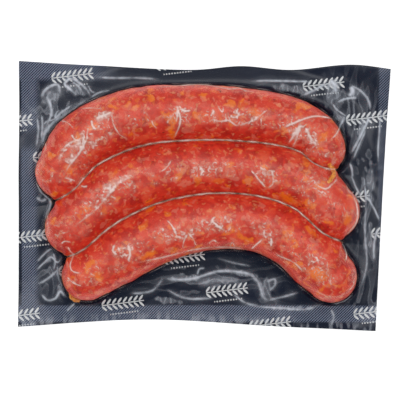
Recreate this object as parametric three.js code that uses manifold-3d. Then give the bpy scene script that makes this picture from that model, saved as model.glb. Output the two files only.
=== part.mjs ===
// Three curved coarse-ground sausages, shrunk tight into a flat vacuum pack.
//
// The pack is a dark backing sheet with a clear film sealed over it. Each sausage, the backing and
// the film are one mesh each. Units are millimetres, +Z is up, and the origin is the middle of the
// pack's underside, with +X along the pack's long side and +Y across the sausages.

import * as THREE from "three";
import { mergeVertices } from "three/addons/utils/BufferGeometryUtils.js";
import Module from "manifold-3d";

const wasm = await Module();
wasm.setup();

// Sheets
const BACKING_THICKNESS = 0.6;
const FILM_THICKNESS = 0.5;
// Free space kept between pieces that touch
const CONTACT_GAP = 0.3;
// Free space between a sausage's skin and the film above it
const FILM_CLEARANCE = 0.45;
const SHEET_COLUMNS = 26;
const SHEET_ROWS = 20;
// Which of a box geometry's six sides is its underside
const UNDERSIDE_GROUP = 5;

// The long edges of the pack, drawn in a little by the vacuum. The short edges run straight between them.
const TOP_EDGE = [
  [-100.5, 73.3],
  [-60, 71],
  [-5, 68.6],
  [20, 70.6],
  [47, 68.6],
  [80, 71.4],
  [101, 68.7],
];
const BOTTOM_EDGE = [
  [-101, -71],
  [-30, -67.2],
  [40, -71],
  [93, -73.3],
];
// How far each corner of the sheet curls up, and how far in the curl reaches
const CORNER_CURLS = [
  { corner: [0, 0], lift: 2.2 },
  { corner: [0, 1], lift: 2.6 },
  { corner: [1, 0], lift: 3.6 },
  { corner: [1, 1], lift: 5.2 },
];
const CORNER_REACH = 26;
// The low waves along the sealed rim, as a height and the share of the sheet that they reach in from the edge
const RIM_WAVE = 1.1;
const RIM_REACH = 0.13;
// Each wave's turn over the sheet and its start, both in radians
const WAVE_ACROSS = [16.5, 0.6];
const WAVE_ALONG = [9.4, 1.2];

// Where the backing is drawn up round the sausages: its height there, and how far out it falls away again
const SKIRT_HEIGHT = 4.2;
const SKIRT_START = 10.5;
const SKIRT_TOP = 16.5;
const SKIRT_FOOT = 30;

// Sausages: a spine in plan, with the skin's radius at even steps along it. "tails" are the twisted ends of
// the casing, as paths of their centre lines, and "tucked" lists the ends whose tail lies folded under.
const FLOOR = BACKING_THICKNESS + CONTACT_GAP;
// The weight of a sausage presses it flat below this share of its radius under its spine
const FLAT_BELOW = 0.93;
const TAIL_RADIUS = 1.4;
// A tucked tail's points: how far out they lie and how high it starts, as shares of the sausage's radius, and
// how far each one lies below the last
const TUCK_REACHES = [0.5, 0.72, 0.9];
const TUCK_HEIGHT = 0.5;
const TUCK_DROP = 0.6;
const SAUSAGES = [
  {
    name: "sausage_back",
    spine: [
      [-76.3, 12.9],
      [-68.3, 26.9],
      [-53.8, 37.4],
      [-34.4, 43],
      [-7.5, 44.6],
      [19.4, 42.7],
      [44.6, 38.8],
      [54.3, 34.9],
      [60.2, 30.1],
      [63.4, 24.7],
    ],
    radii: [13.5, 15.3, 15, 14.4, 13.4, 11.2],
    tails: [
      [
        [65.2, 20.4, 16.8],
        [67.4, 16.4, 20.5],
        [69.2, 12.4, 24.2],
        [67.6, 9.0, 26.4],
        [65.2, 6.6, 27.6],
      ],
    ],
    tucked: ["first"],
  },
  {
    name: "sausage_middle",
    spine: [
      [-71, -16.1],
      [-61.3, -6.5],
      [-46.8, 3.8],
      [-29, 11.3],
      [-7.5, 15.1],
      [16.7, 15.6],
      [39.2, 12.1],
      [57.5, 3.8],
      [68.8, -8.1],
    ],
    radii: [13.9, 16, 15.2, 14.5, 14.3, 13.7],
    tails: [],
    tucked: ["first", "last"],
  },
  {
    name: "sausage_front",
    spine: [
      [-63.4, -42.5],
      [-51.6, -34.4],
      [-33.3, -23.9],
      [-10.2, -16.1],
      [11.3, -13.4],
      [31.2, -15.6],
      [47.3, -23.1],
      [59.1, -32.8],
      [68.3, -43.5],
    ],
    radii: [13.1, 14.6, 15.1, 15.1, 14.8, 13.4],
    tails: [
      [
        [-70.2, -49.6, 10.2],
        [-73.4, -53.4, 9.0],
        [-71.6, -56.0, 8.2],
        [-67.4, -56.8, 7.8],
      ],
    ],
    tucked: ["last"],
  },
];

// Two sausages that press on each other keep this apart, which leaves the contact gap between their facets
const PRESS_GAP = 0.8;
const PRESS_PASSES = 16;

// Facets: steps along each side of a sausage and round each of its ends, and rings from its top to its
// underside
const SIDE_STEPS = 20;
const END_STEPS = 8;
const SKIN_RINGS = 11;
// The film follows the skin down to this angle from the top, then falls straight to the backing
const FILM_LEAVES_AT = THREE.MathUtils.degToRad(76);
const FILM_RINGS = 5;
const FILM_FOOT = 2.2;
// The solids that the film is cut from reach below the pack, and the inner one past it on every side
const CUT_DEPTH = 6;
const CUT_OVER = 1;
// The film is thinned out to the facets that a change of this size would show
const FACET_TOLERANCE = 0.08;

// 0 below low, 1 above high, with a soft step between them
function smooth(value, low, high) {
  return THREE.MathUtils.smoothstep(value, low, high);
}

// A closed geometry as a manifold-3d solid. Vertices at one place are merged, and faces with no area dropped.
function solidFrom(geometry) {
  const bare = new THREE.BufferGeometry();
  bare.setAttribute("position", geometry.getAttribute("position"));
  bare.setIndex(geometry.getIndex());
  const merged = mergeVertices(bare, 1e-4);
  const index = merged.getIndex().array;
  const kept = [];
  for (let i = 0; i < index.length; i += 3) {
    const [a, b, c] = [index[i], index[i + 1], index[i + 2]];
    if (a !== b && b !== c && c !== a) kept.push(a, b, c);
  }
  return new wasm.Manifold(
    new wasm.Mesh({
      numProp: 3,
      vertProperties: merged.getAttribute("position").array,
      triVerts: new Uint32Array(kept),
    }),
  );
}

// A solid as a three.js geometry
function geometryFrom(solid) {
  const mesh = solid.getMesh();
  const geometry = new THREE.BufferGeometry();
  geometry.setAttribute("position", new THREE.BufferAttribute(mesh.vertProperties, 3));
  geometry.setIndex(new THREE.BufferAttribute(mesh.triVerts, 1));
  geometry.computeVertexNormals();
  return geometry;
}

// The centre line of a sausage in plan, as evenly spaced points with their directions and radii
function layOutSpine({ spine, radii }) {
  const curve = new THREE.CatmullRomCurve3(
    spine.map(([x, y]) => new THREE.Vector3(x, y, 0)),
    false,
    "centripetal",
  );
  const profile = new THREE.SplineCurve(
    radii.map((radius, i) => new THREE.Vector2(i / (radii.length - 1), radius)),
  );
  const stations = [];
  for (let i = 0; i <= SIDE_STEPS; i += 1) {
    const along = i / SIDE_STEPS;
    const centre = curve.getPointAt(along);
    const forward = curve.getTangentAt(along);
    stations.push({
      centre: new THREE.Vector2(centre.x, centre.y),
      left: new THREE.Vector2(-forward.y, forward.x),
      radius: profile.getPoint(along).y,
    });
  }
  return stations;
}

const spines = new Map(SAUSAGES.map((sausage) => [sausage, layOutSpine(sausage)]));

// How far a point lies from a spine in plan, and that distance as a share of the radius there
function nearestOn(stations, point) {
  let nearest = { distance: Infinity, share: Infinity };
  for (let i = 1; i < stations.length; i += 1) {
    const [start, end] = [stations[i - 1], stations[i]];
    const run = end.centre.clone().sub(start.centre);
    const offset = point.clone().sub(start.centre);
    const along = THREE.MathUtils.clamp(offset.dot(run) / run.lengthSq(), 0, 1);
    const distance = offset.distanceTo(run.multiplyScalar(along));
    const radius = THREE.MathUtils.lerp(start.radius, end.radius, along);
    if (distance < nearest.distance) nearest = { distance, share: distance / radius };
  }
  return nearest;
}

// The directions from the spine out to the skin, once round a sausage in plan: along its left side to the
// last station, round that end, back along its right side and round the first end
function directionsRound(stations) {
  const round = [];
  const last = stations.length - 1;
  const turned = (vector, angle) => vector.clone().rotateAround(new THREE.Vector2(), angle);
  for (let i = 0; i < last; i += 1) round.push({ ...stations[i], out: stations[i].left });
  for (let i = 0; i < END_STEPS; i += 1) {
    const angle = (-Math.PI * i) / END_STEPS;
    round.push({ ...stations[last], out: turned(stations[last].left, angle) });
  }
  for (let i = last; i > 0; i -= 1) {
    round.push({ ...stations[i], out: stations[i].left.clone().negate() });
  }
  for (let i = 0; i < END_STEPS; i += 1) {
    const angle = (-Math.PI * i) / END_STEPS;
    round.push({ ...stations[0], out: turned(stations[0].left, Math.PI + angle) });
  }
  return round;
}

// A turned body stretched along a spine: profile(station) gives the [reach, height] pairs from the middle of
// the top to the middle of the underside, and place moves a point of the skin in plan
function stretchedLathe(stations, profile, place = (station, reach) => reach) {
  const round = directionsRound(stations);
  const rings = profile(round[0]).length;
  const flat = Array.from({ length: rings }, (_, i) => new THREE.Vector2(i && i < rings - 1 ? 1 : 0, -i));
  const geometry = new THREE.LatheGeometry(flat, round.length);
  const position = geometry.getAttribute("position");
  for (let column = 0; column <= round.length; column += 1) {
    const station = round[column % round.length];
    profile(station).forEach(([reach, height], ring) => {
      const placed = place(station, reach);
      const { centre, out } = station;
      position.setXYZ(column * rings + ring, centre.x + out.x * placed, centre.y + out.y * placed, height);
    });
  }
  const solid = solidFrom(geometry);
  if (solid.volume() > 0) return solid;
  throw new Error("a stretched body is inside out");
}

// How high a spine lies over the underside of the pack
const spineHeight = (radius) => FLOOR + FLAT_BELOW * radius;

// Half of a sausage's section, pressed flat where it rests
function skinProfile({ radius }) {
  return Array.from({ length: SKIN_RINGS + 1 }, (_, i) => {
    const angle = (Math.PI * i) / SKIN_RINGS;
    const height = spineHeight(radius) + radius * Math.cos(angle);
    return [i === 0 || i === SKIN_RINGS ? 0 : radius * Math.sin(angle), Math.max(height, FLOOR)];
  });
}

// Half of the space under the film round a sausage, with the film's own thickness as an extra offset
function filmProfile(offset, depth) {
  return ({ radius }) => {
    const skin = radius + offset;
    const points = Array.from({ length: FILM_RINGS + 1 }, (_, i) => {
      const angle = (FILM_LEAVES_AT * i) / FILM_RINGS;
      return [skin * Math.sin(angle), spineHeight(radius) + skin * Math.cos(angle)];
    });
    const foot = skin + FILM_FOOT;
    return [...points, [foot, FLOOR], [foot, -depth], [0, -depth]];
  };
}

// Keeps the skin on its own side of the seam with each neighbour, which runs where a point is the same share
// of both radii away from both spines
function pressed(own) {
  const others = SAUSAGES.filter((other) => other !== own).map((other) => spines.get(other));
  return ({ centre, out, radius }, reach) => {
    let placed = reach;
    for (let pass = 0; pass < PRESS_PASSES; pass += 1) {
      const point = centre.clone().addScaledVector(out, placed);
      const other = Math.min(...others.map((stations) => nearestOn(stations, point).share));
      const squeeze = (nearestOn(spines.get(own), point).share - other) * radius + PRESS_GAP;
      if (squeeze <= 0) break;
      placed = Math.max(placed - squeeze / 2, 0);
    }
    return placed;
  };
}

// A casing tail: a short round cord along its path, or the space that lies this far off it
function casingTail(path, offset = 0) {
  const section = new THREE.Shape().absarc(0, 0, TAIL_RADIUS + offset, 0, 2 * Math.PI);
  const points = path.map((point) => new THREE.Vector3(...point));
  const onward = points.at(-1).clone().sub(points.at(-2)).normalize();
  points.at(-1).addScaledVector(onward, offset);
  const curve = new THREE.CatmullRomCurve3(points);
  const geometry = new THREE.ExtrudeGeometry(section, { extrudePath: curve, steps: 7, curveSegments: 4 });
  return solidFrom(geometry);
}

// The path of a tail folded under the first or last end of a sausage, out of sight from above
function tuckedPath(sausage, end) {
  const stations = spines.get(sausage);
  const { centre, left, radius } = stations.at(end === "first" ? 0 : -1);
  const sign = end === "first" ? 1 : -1;
  const outward = new THREE.Vector2(-left.y * sign, left.x * sign);
  return TUCK_REACHES.map((reach, i) => [
    centre.x + outward.x * radius * reach,
    centre.y + outward.y * radius * reach,
    FLOOR + radius * TUCK_HEIGHT - i * TUCK_DROP,
  ]);
}

// A sausage with its casing tails
function sausageSolid(sausage) {
  const tucked = sausage.tucked.map((end) => tuckedPath(sausage, end));
  return [...sausage.tails, ...tucked].reduce(
    (solid, path) => solid.add(casingTail(path)),
    stretchedLathe(spines.get(sausage), skinProfile, pressed(sausage)),
  );
}

// The height of the backing's underside: flat under the sausages, drawn up beside them, waved and curled at
// the rim
function backingHeight(across, along, point) {
  const nearest = Math.min(...[...spines.values()].map((stations) => nearestOn(stations, point).distance));
  const rise = smooth(nearest, SKIRT_START, SKIRT_TOP) * (1 - smooth(nearest, SKIRT_TOP, SKIRT_FOOT));
  const toEdge = Math.min(across, 1 - across, along, 1 - along);
  const [[acrossTurn, acrossStart], [alongTurn, alongStart]] = [WAVE_ACROSS, WAVE_ALONG];
  const waves = 1 + Math.sin(across * acrossTurn + acrossStart) * Math.cos(along * alongTurn + alongStart);
  const rim = (1 - smooth(toEdge, 0, RIM_REACH)) * RIM_WAVE * waves;
  const curl = CORNER_CURLS.reduce((sum, { corner, lift }) => {
    const distance = point.distanceTo(sheetPoint(...corner));
    return sum + lift * (1 - smooth(distance, 0, CORNER_REACH));
  }, 0);
  return SKIRT_HEIGHT * rise + rim + curl;
}

const topEdge = new THREE.SplineCurve(TOP_EDGE.map(([x, y]) => new THREE.Vector2(x, y)));
const bottomEdge = new THREE.SplineCurve(BOTTOM_EDGE.map(([x, y]) => new THREE.Vector2(x, y)));

// A point of the flat sheet, from the bottom left corner: across and along run from 0 to 1
function sheetPoint(across, along) {
  return bottomEdge.getPointAt(across).lerp(topEdge.getPointAt(across), along);
}

// Splits the cells of a box's underside along the same diagonals as those of its top, so that a thin sheet
// doesn't cut through itself where it is twisted
function splitAlike(geometry) {
  const index = geometry.getIndex().array;
  const underside = geometry.groups[UNDERSIDE_GROUP];
  for (let i = underside.start; i < underside.start + underside.count; i += 6) {
    const [a, b, d, , c] = index.slice(i, i + 6);
    index.set([a, b, c, a, c, d], i);
  }
}

// A slab over the whole sheet, between two heights that follow the backing or lie flat. Its rim can reach
// this much past the sheet's.
function sheetSolid(lower, upper, over = 0) {
  const geometry = new THREE.BoxGeometry(1, 1, 1, SHEET_COLUMNS, SHEET_ROWS, 1);
  const position = geometry.getAttribute("position");
  for (let i = 0; i < position.count; i += 1) {
    const across = Math.round((position.getX(i) + 0.5) * SHEET_COLUMNS) / SHEET_COLUMNS;
    const along = Math.round((position.getY(i) + 0.5) * SHEET_ROWS) / SHEET_ROWS;
    const point = sheetPoint(across, along);
    const side = position.getZ(i) > 0 ? upper : lower;
    const height = side(backingHeight(across, along, point));
    const onRim = across % 1 === 0 || along % 1 === 0;
    if (onRim) point.setLength(point.length() + over);
    position.setXYZ(i, point.x, point.y, height);
  }
  splitAlike(geometry);
  return solidFrom(geometry);
}

// The backing, up to its own thickness
function backingSolid() {
  return sheetSolid(
    (height) => height,
    (height) => height + BACKING_THICKNESS,
  );
}

// Everything under a skin that lies this far off the sausages, their tails and the backing
function underFilm(offset, depth, over = 0) {
  const overBacking = BACKING_THICKNESS + CONTACT_GAP + offset - FILM_CLEARANCE;
  const base = sheetSolid(
    () => -depth,
    (height) => height + overBacking,
    over,
  );
  return SAUSAGES.reduce((solid, sausage) => {
    const arch = stretchedLathe(spines.get(sausage), filmProfile(offset, depth));
    const tails = sausage.tails.map((path) => casingTail(path, offset));
    return [arch, ...tails].reduce((joined, piece) => joined.add(piece), solid);
  }, base);
}

// The film is what lies between two such skins, one its own thickness outside the other
function filmSolid() {
  const outer = underFilm(FILM_CLEARANCE + FILM_THICKNESS, CUT_DEPTH);
  const inner = underFilm(FILM_CLEARANCE, CUT_DEPTH + CUT_OVER, CUT_OVER);
  return outer.subtract(inner).simplify(FACET_TOLERANCE);
}

const sausageMeat = new THREE.MeshStandardMaterial({ color: 0xc8402a, roughness: 0.38, metalness: 0 });
const darkBacking = new THREE.MeshStandardMaterial({ color: 0x232c3c, roughness: 0.42, metalness: 0 });
const clearFilm = new THREE.MeshStandardMaterial({
  color: 0xe9eef2,
  roughness: 0.12,
  metalness: 0,
  transparent: true,
  opacity: 0.2,
});

function namedMesh(name, solid, material) {
  const mesh = new THREE.Mesh(geometryFrom(solid), material);
  mesh.name = name;
  return mesh;
}

const pack = new THREE.Group();
pack.add(namedMesh("backing_sheet", backingSolid(), darkBacking));
for (const sausage of SAUSAGES) pack.add(namedMesh(sausage.name, sausageSolid(sausage), sausageMeat));
pack.add(namedMesh("clear_film", filmSolid(), clearFilm));

export default pack;
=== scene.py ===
"""Dresses a vacuum pack of three coarse-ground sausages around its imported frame.

Shapes are worked out in millimetres in the pack's own frame, and put into the meshes in metres.
"""

import logging
import math
from dataclasses import dataclass, field
from enum import Enum

import bpy
import numpy as np
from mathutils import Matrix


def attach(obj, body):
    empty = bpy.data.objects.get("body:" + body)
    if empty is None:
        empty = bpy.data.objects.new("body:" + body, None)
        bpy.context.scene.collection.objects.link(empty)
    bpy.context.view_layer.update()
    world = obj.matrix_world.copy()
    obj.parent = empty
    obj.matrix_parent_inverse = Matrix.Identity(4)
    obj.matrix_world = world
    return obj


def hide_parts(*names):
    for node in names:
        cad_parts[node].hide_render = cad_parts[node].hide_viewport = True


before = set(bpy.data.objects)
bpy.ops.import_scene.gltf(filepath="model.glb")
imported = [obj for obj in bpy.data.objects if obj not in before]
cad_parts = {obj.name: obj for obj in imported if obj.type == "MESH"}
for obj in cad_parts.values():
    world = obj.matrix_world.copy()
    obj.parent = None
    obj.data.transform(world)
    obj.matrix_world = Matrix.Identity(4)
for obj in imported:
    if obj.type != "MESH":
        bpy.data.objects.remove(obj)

LOG = logging.getLogger("sausage_pack")
MM = 0.001
ROOT = "root"
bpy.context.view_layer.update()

Tree = bpy.types.NodeTree
Node = bpy.types.Node
Socket = bpy.types.NodeSocket
Known = dict[str, Node | Socket]
Points = tuple[tuple[float, ...], ...]
Places = tuple[tuple[tuple[float, float], tuple[float, float], float], ...]
Stops = tuple[tuple[float, str], ...]


class Slot(Enum):
    """Names of the material slots."""

    BACKING = "backing"
    SAUSAGE = "sausage"
    FILM = "film"


def linear(code: str) -> tuple[float, float, float, float]:
    """Turns an sRGB colour into the linear one that Blender's sockets take.

    Below 0.04045 a channel is divided by 12.92, and above it is ((c + 0.055) / 1.055) to the power 2.4.

    Args:
        code: six hex digits.

    Returns:
        Linear red, green, blue and an alpha of 1.
    """
    channels = np.array([int(code[i : i + 2], 16) for i in (0, 2, 4)]) / 255
    low, high = channels / 12.92, ((channels + 0.055) / 1.055) ** 2.4
    return (*np.where(channels <= 0.04045, low, high).tolist(), 1.0)


def smoothstep(value: np.ndarray, low: float, high: float) -> np.ndarray:
    """Is 0 below low and 1 above high, with a soft step between: t * t * (3 - 2 * t)."""
    share = np.clip((value - low) / (high - low), 0, 1)
    return share * share * (3 - 2 * share)


LATTICE = 64


def gradient_noise(x: np.ndarray, y: np.ndarray, seed: int) -> np.ndarray:
    """Smooth noise of about -1 to 1, from random slopes on a whole-number lattice.

    Each corner's slope is followed to the point, and the four are blended by 6 t^5 - 15 t^4 + 10 t^3 of the
    place in the cell.

    Args:
        x: lattice coordinates, which come round again after LATTICE steps.
        y: lattice coordinates of the same shape.
        seed: chooses the slopes.

    Returns:
        The noise at each point.
    """
    angles = np.random.default_rng(seed).uniform(0, 2 * np.pi, (LATTICE, LATTICE))
    slope_x, slope_y = np.cos(angles), np.sin(angles)
    left, low = np.floor(x).astype(int), np.floor(y).astype(int)
    part_x, part_y = x - left, y - low

    def corner(dx: int, dy: int) -> np.ndarray:
        """The slope of one corner of the cell, followed to each point."""
        i, j = (left + dx) % LATTICE, (low + dy) % LATTICE
        return slope_x[i, j] * (part_x - dx) + slope_y[i, j] * (part_y - dy)

    blend_x = part_x**3 * (part_x * (part_x * 6 - 15) + 10)
    blend_y = part_y**3 * (part_y * (part_y * 6 - 15) + 10)
    bottom = corner(0, 0) + (corner(1, 0) - corner(0, 0)) * blend_x
    top = corner(0, 1) + (corner(1, 1) - corner(0, 1)) * blend_x
    return 1.5 * (bottom + (top - bottom) * blend_y)


def ridged(x: np.ndarray, y: np.ndarray, seed: int, sharpness: float = 2.0) -> np.ndarray:
    """Noise turned to creases, 1 on their crests: 1 less 1.6 times its size, to the power of sharpness."""
    return np.clip(1 - np.abs(gradient_noise(x, y, seed)) * 1.6, 0, 1) ** sharpness


def smooth_line(points: Points, per_span: int = 24) -> np.ndarray:
    """A smooth line through points.

    Each span is a blend of straight runs between four neighbours, whose knots are the square roots of the
    distances between them, and the line goes on past its ends as it left them.

    Args:
        points: points of two or three coordinates.
        per_span: steps between each two of them.

    Returns:
        The line's points, one row each.
    """
    given = np.array(points, float)
    line = np.vstack([2 * given[0] - given[1], given, 2 * given[-1] - given[-2]])
    knots = np.concatenate([[0], np.cumsum(np.sqrt(np.linalg.norm(np.diff(line, axis=0), axis=1)))])
    spans = []
    for i in range(1, len(line) - 2):
        t = np.linspace(knots[i], knots[i + 1], per_span, endpoint=False)[:, None]

        def run(a: np.ndarray, b: np.ndarray, low: int, high: int) -> np.ndarray:
            """The straight run from a to b between two knots, at every t."""
            return (a * (knots[high] - t) + b * (t - knots[low])) / (knots[high] - knots[low])

        first, second, third = (run(line[k], line[k + 1], k, k + 1) for k in (i - 1, i, i + 1))
        spans.append(run(run(first, second, i - 1, i + 1), run(second, third, i, i + 2), i, i + 1))
    return np.vstack([*spans, given[-1:]])


def resample(line: np.ndarray, count: int) -> np.ndarray:
    """The same line with count points at even steps along it.

    Args:
        line: points, one row each.
        count: how many points are wanted.

    Returns:
        The new points.
    """
    along = np.concatenate([[0], np.cumsum(np.linalg.norm(np.diff(line, axis=0), axis=1))])
    even = np.linspace(0, along[-1], count)
    return np.stack([np.interp(even, along, column) for column in line.T], axis=1)


def nearest_on(line: np.ndarray, x: np.ndarray, y: np.ndarray) -> tuple[np.ndarray, ...]:
    """How points lie against a line in plan: a point's shadow on each segment is kept where it is nearest.

    Args:
        line: the line's points, in plan.
        x: the points' first coordinates.
        y: the points' second coordinates.

    Returns:
        The distance, the share of the line's length at the nearest place, and that place's x and y.
    """
    runs = np.diff(line, axis=0)
    lengths = np.linalg.norm(runs, axis=1)
    before = np.concatenate([[0], np.cumsum(lengths)])
    best = np.full(x.shape, np.inf)
    share, near_x, near_y = np.zeros(x.shape), np.zeros(x.shape), np.zeros(x.shape)
    for start, run, length, passed in zip(line, runs, lengths, before):
        t = np.clip(((x - start[0]) * run[0] + (y - start[1]) * run[1]) / length**2, 0, 1)
        at_x, at_y = start[0] + run[0] * t, start[1] + run[1] * t
        distance = np.hypot(x - at_x, y - at_y)
        closer = distance < best
        best = np.where(closer, distance, best)
        share = np.where(closer, (passed + length * t) / before[-1], share)
        near_x, near_y = np.where(closer, at_x, near_x), np.where(closer, at_y, near_y)
    return best, share, near_x, near_y


def grid_faces(rows: int, columns: int, closed: bool = False) -> np.ndarray:
    """The four corners of every cell of a grid of vertices, row by row.

    Args:
        rows: how many rows the grid has.
        columns: how many vertices a row has.
        closed: whether each row's last vertex joins its first.

    Returns:
        One row of four vertex numbers for each cell.
    """
    across = np.arange(columns if closed else columns - 1)
    row = (np.arange(rows - 1) * columns)[:, None]
    onward = (across + 1) % columns
    corners = np.stack([row + across, row + onward, row + columns + onward, row + columns + across], -1)
    return corners.reshape(-1, 4)


def end_fans(rows: int, around: int) -> tuple[np.ndarray, np.ndarray]:
    """The triangles that close a tube at both ends.

    Args:
        rows: how many rings the tube has.
        around: how many vertices a ring has.

    Returns:
        A fan for each end, from the two end points that follow the rings' vertices.
    """
    ring = np.arange(around)
    onward = np.roll(ring, -1)
    last_ring, end_point = (rows - 1) * around, rows * around
    start = np.stack([np.full_like(ring, end_point), onward, ring], 1)
    end = np.stack([np.full_like(ring, end_point + 1), last_ring + ring, last_ring + onward], 1)
    return start, end


def make_piece(name: str, points: np.ndarray, quads: np.ndarray, fans: tuple = ()) -> bpy.types.Object:
    """Puts a mesh into the scene, smooth shaded, with its place in its vertices.

    Args:
        name: the piece's name.
        points: vertices in millimetres.
        quads: four vertex numbers for each face.
        fans: triangles, as arrays of three vertex numbers.

    Returns:
        The new object.
    """
    mesh = bpy.data.meshes.new(name)
    triangles = np.vstack(fans) if fans else np.zeros((0, 3), int)
    corners = np.concatenate([quads.ravel(), triangles.ravel()]).astype(np.int32)
    sizes = np.concatenate([np.full(len(quads), 4), np.full(len(triangles), 3)])
    mesh.vertices.add(len(points))
    mesh.vertices.foreach_set("co", (points * MM).astype(np.float32).ravel())
    mesh.loops.add(len(corners))
    mesh.loops.foreach_set("vertex_index", corners)
    mesh.polygons.add(len(sizes))
    mesh.polygons.foreach_set("loop_start", np.concatenate([[0], np.cumsum(sizes)[:-1]]).astype(np.int32))
    mesh.polygons.foreach_set("use_smooth", np.ones(len(sizes), bool))
    mesh.update(calc_edges=True)
    mesh.validate()
    piece = bpy.data.objects.new(name, mesh)
    bpy.context.scene.collection.objects.link(piece)
    return piece


def paint(piece: bpy.types.Object, name: str, values: np.ndarray) -> None:
    """Gives each vertex a number, which a material reads as an attribute of this name."""
    attribute = piece.data.attributes.new(name, "FLOAT", "POINT")
    attribute.data.foreach_set("value", values.astype(np.float32).ravel())


def add_node(tree: Tree, kind: str, inputs: dict | tuple = (), **settings: object) -> Node:
    """Adds a node, with its settings, and its inputs as values or as links from other nodes.

    Args:
        tree: the material's nodes.
        kind: the node's type, without the words ShaderNode in front.
        inputs: input names or numbers with their values, or only the values, from the first input on. A
            socket is linked, and a node stands for its first output.
        settings: the node's own properties.

    Returns:
        The new node.
    """
    node = tree.nodes.new(f"ShaderNode{kind}")
    for key, value in settings.items():
        setattr(node, key, value)
    for key, value in (inputs if isinstance(inputs, dict) else dict(enumerate(inputs))).items():
        source = value.outputs[0] if isinstance(value, Node) else value
        if isinstance(source, Socket):
            tree.links.new(source, node.inputs[key])
        else:
            node.inputs[key].default_value = source
    return node


# A Mix node's sockets for its share and its two colours, and the one where its colour comes out
MIX_SOCKETS = (0, 6, 7)
MIX_RESULT = 2


def work_out(tree: Tree, known: Known, steps: tuple[tuple, ...]) -> Known:
    """Follows a formula step by step.

    SOFT_STEP is 0 at its first limit and 1 at its second, with a smooth step between, and the first limit may
    be the higher one. BLEND goes from its second value, a colour, to its third, as far as its first says.
    Every other operation is a Math node's own.

    Args:
        tree: the material's nodes.
        known: what the formula starts from, by name.
        steps: rows of the result's name, the operation, and the names, numbers or colours that go in.

    Returns:
        Everything known at the end, by name.
    """
    known = dict(known)
    for name, operation, *given in steps:
        values = tuple(known[value] if isinstance(value, str) else value for value in given)
        if operation == "SOFT_STEP":
            known[name] = add_node(tree, "MapRange", values, interpolation_type="SMOOTHSTEP")
        elif operation == "BLEND":
            colours = dict(zip(MIX_SOCKETS, values))
            known[name] = add_node(tree, "Mix", colours, data_type="RGBA").outputs[MIX_RESULT]
        else:
            known[name] = add_node(tree, "Math", values, operation=operation)
    return known


def set_stops(node: Node, stops: Stops) -> Node:
    """Gives a colour ramp its stops, places between 0 and 1 with sRGB codes, and returns it.

    Args:
        node: the colour ramp.
        stops: its places, each with its colour.

    Returns:
        The same node.
    """
    elements = node.color_ramp.elements
    while len(elements) < len(stops):
        elements.new(0.5)
    for element, (place, code) in zip(elements, stops):
        element.position = place
        element.color = linear(code)
    return node


def start_material(name: str) -> tuple[bpy.types.Material, Tree]:
    """A new material with an empty tree of nodes.

    Args:
        name: the material's name.

    Returns:
        The material and its nodes.
    """
    material = bpy.data.materials.new(name)
    material.use_nodes = True
    material.node_tree.nodes.clear()
    return material, material.node_tree


def millimetres(tree: Tree) -> Node:
    """The piece's own coordinates in millimetres, so that every pattern's scale is 1 over its size."""
    place = add_node(tree, "TexCoord").outputs["Object"]
    return add_node(tree, "VectorMath", {0: place, "Scale": 1 / MM}, operation="SCALE")


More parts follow.
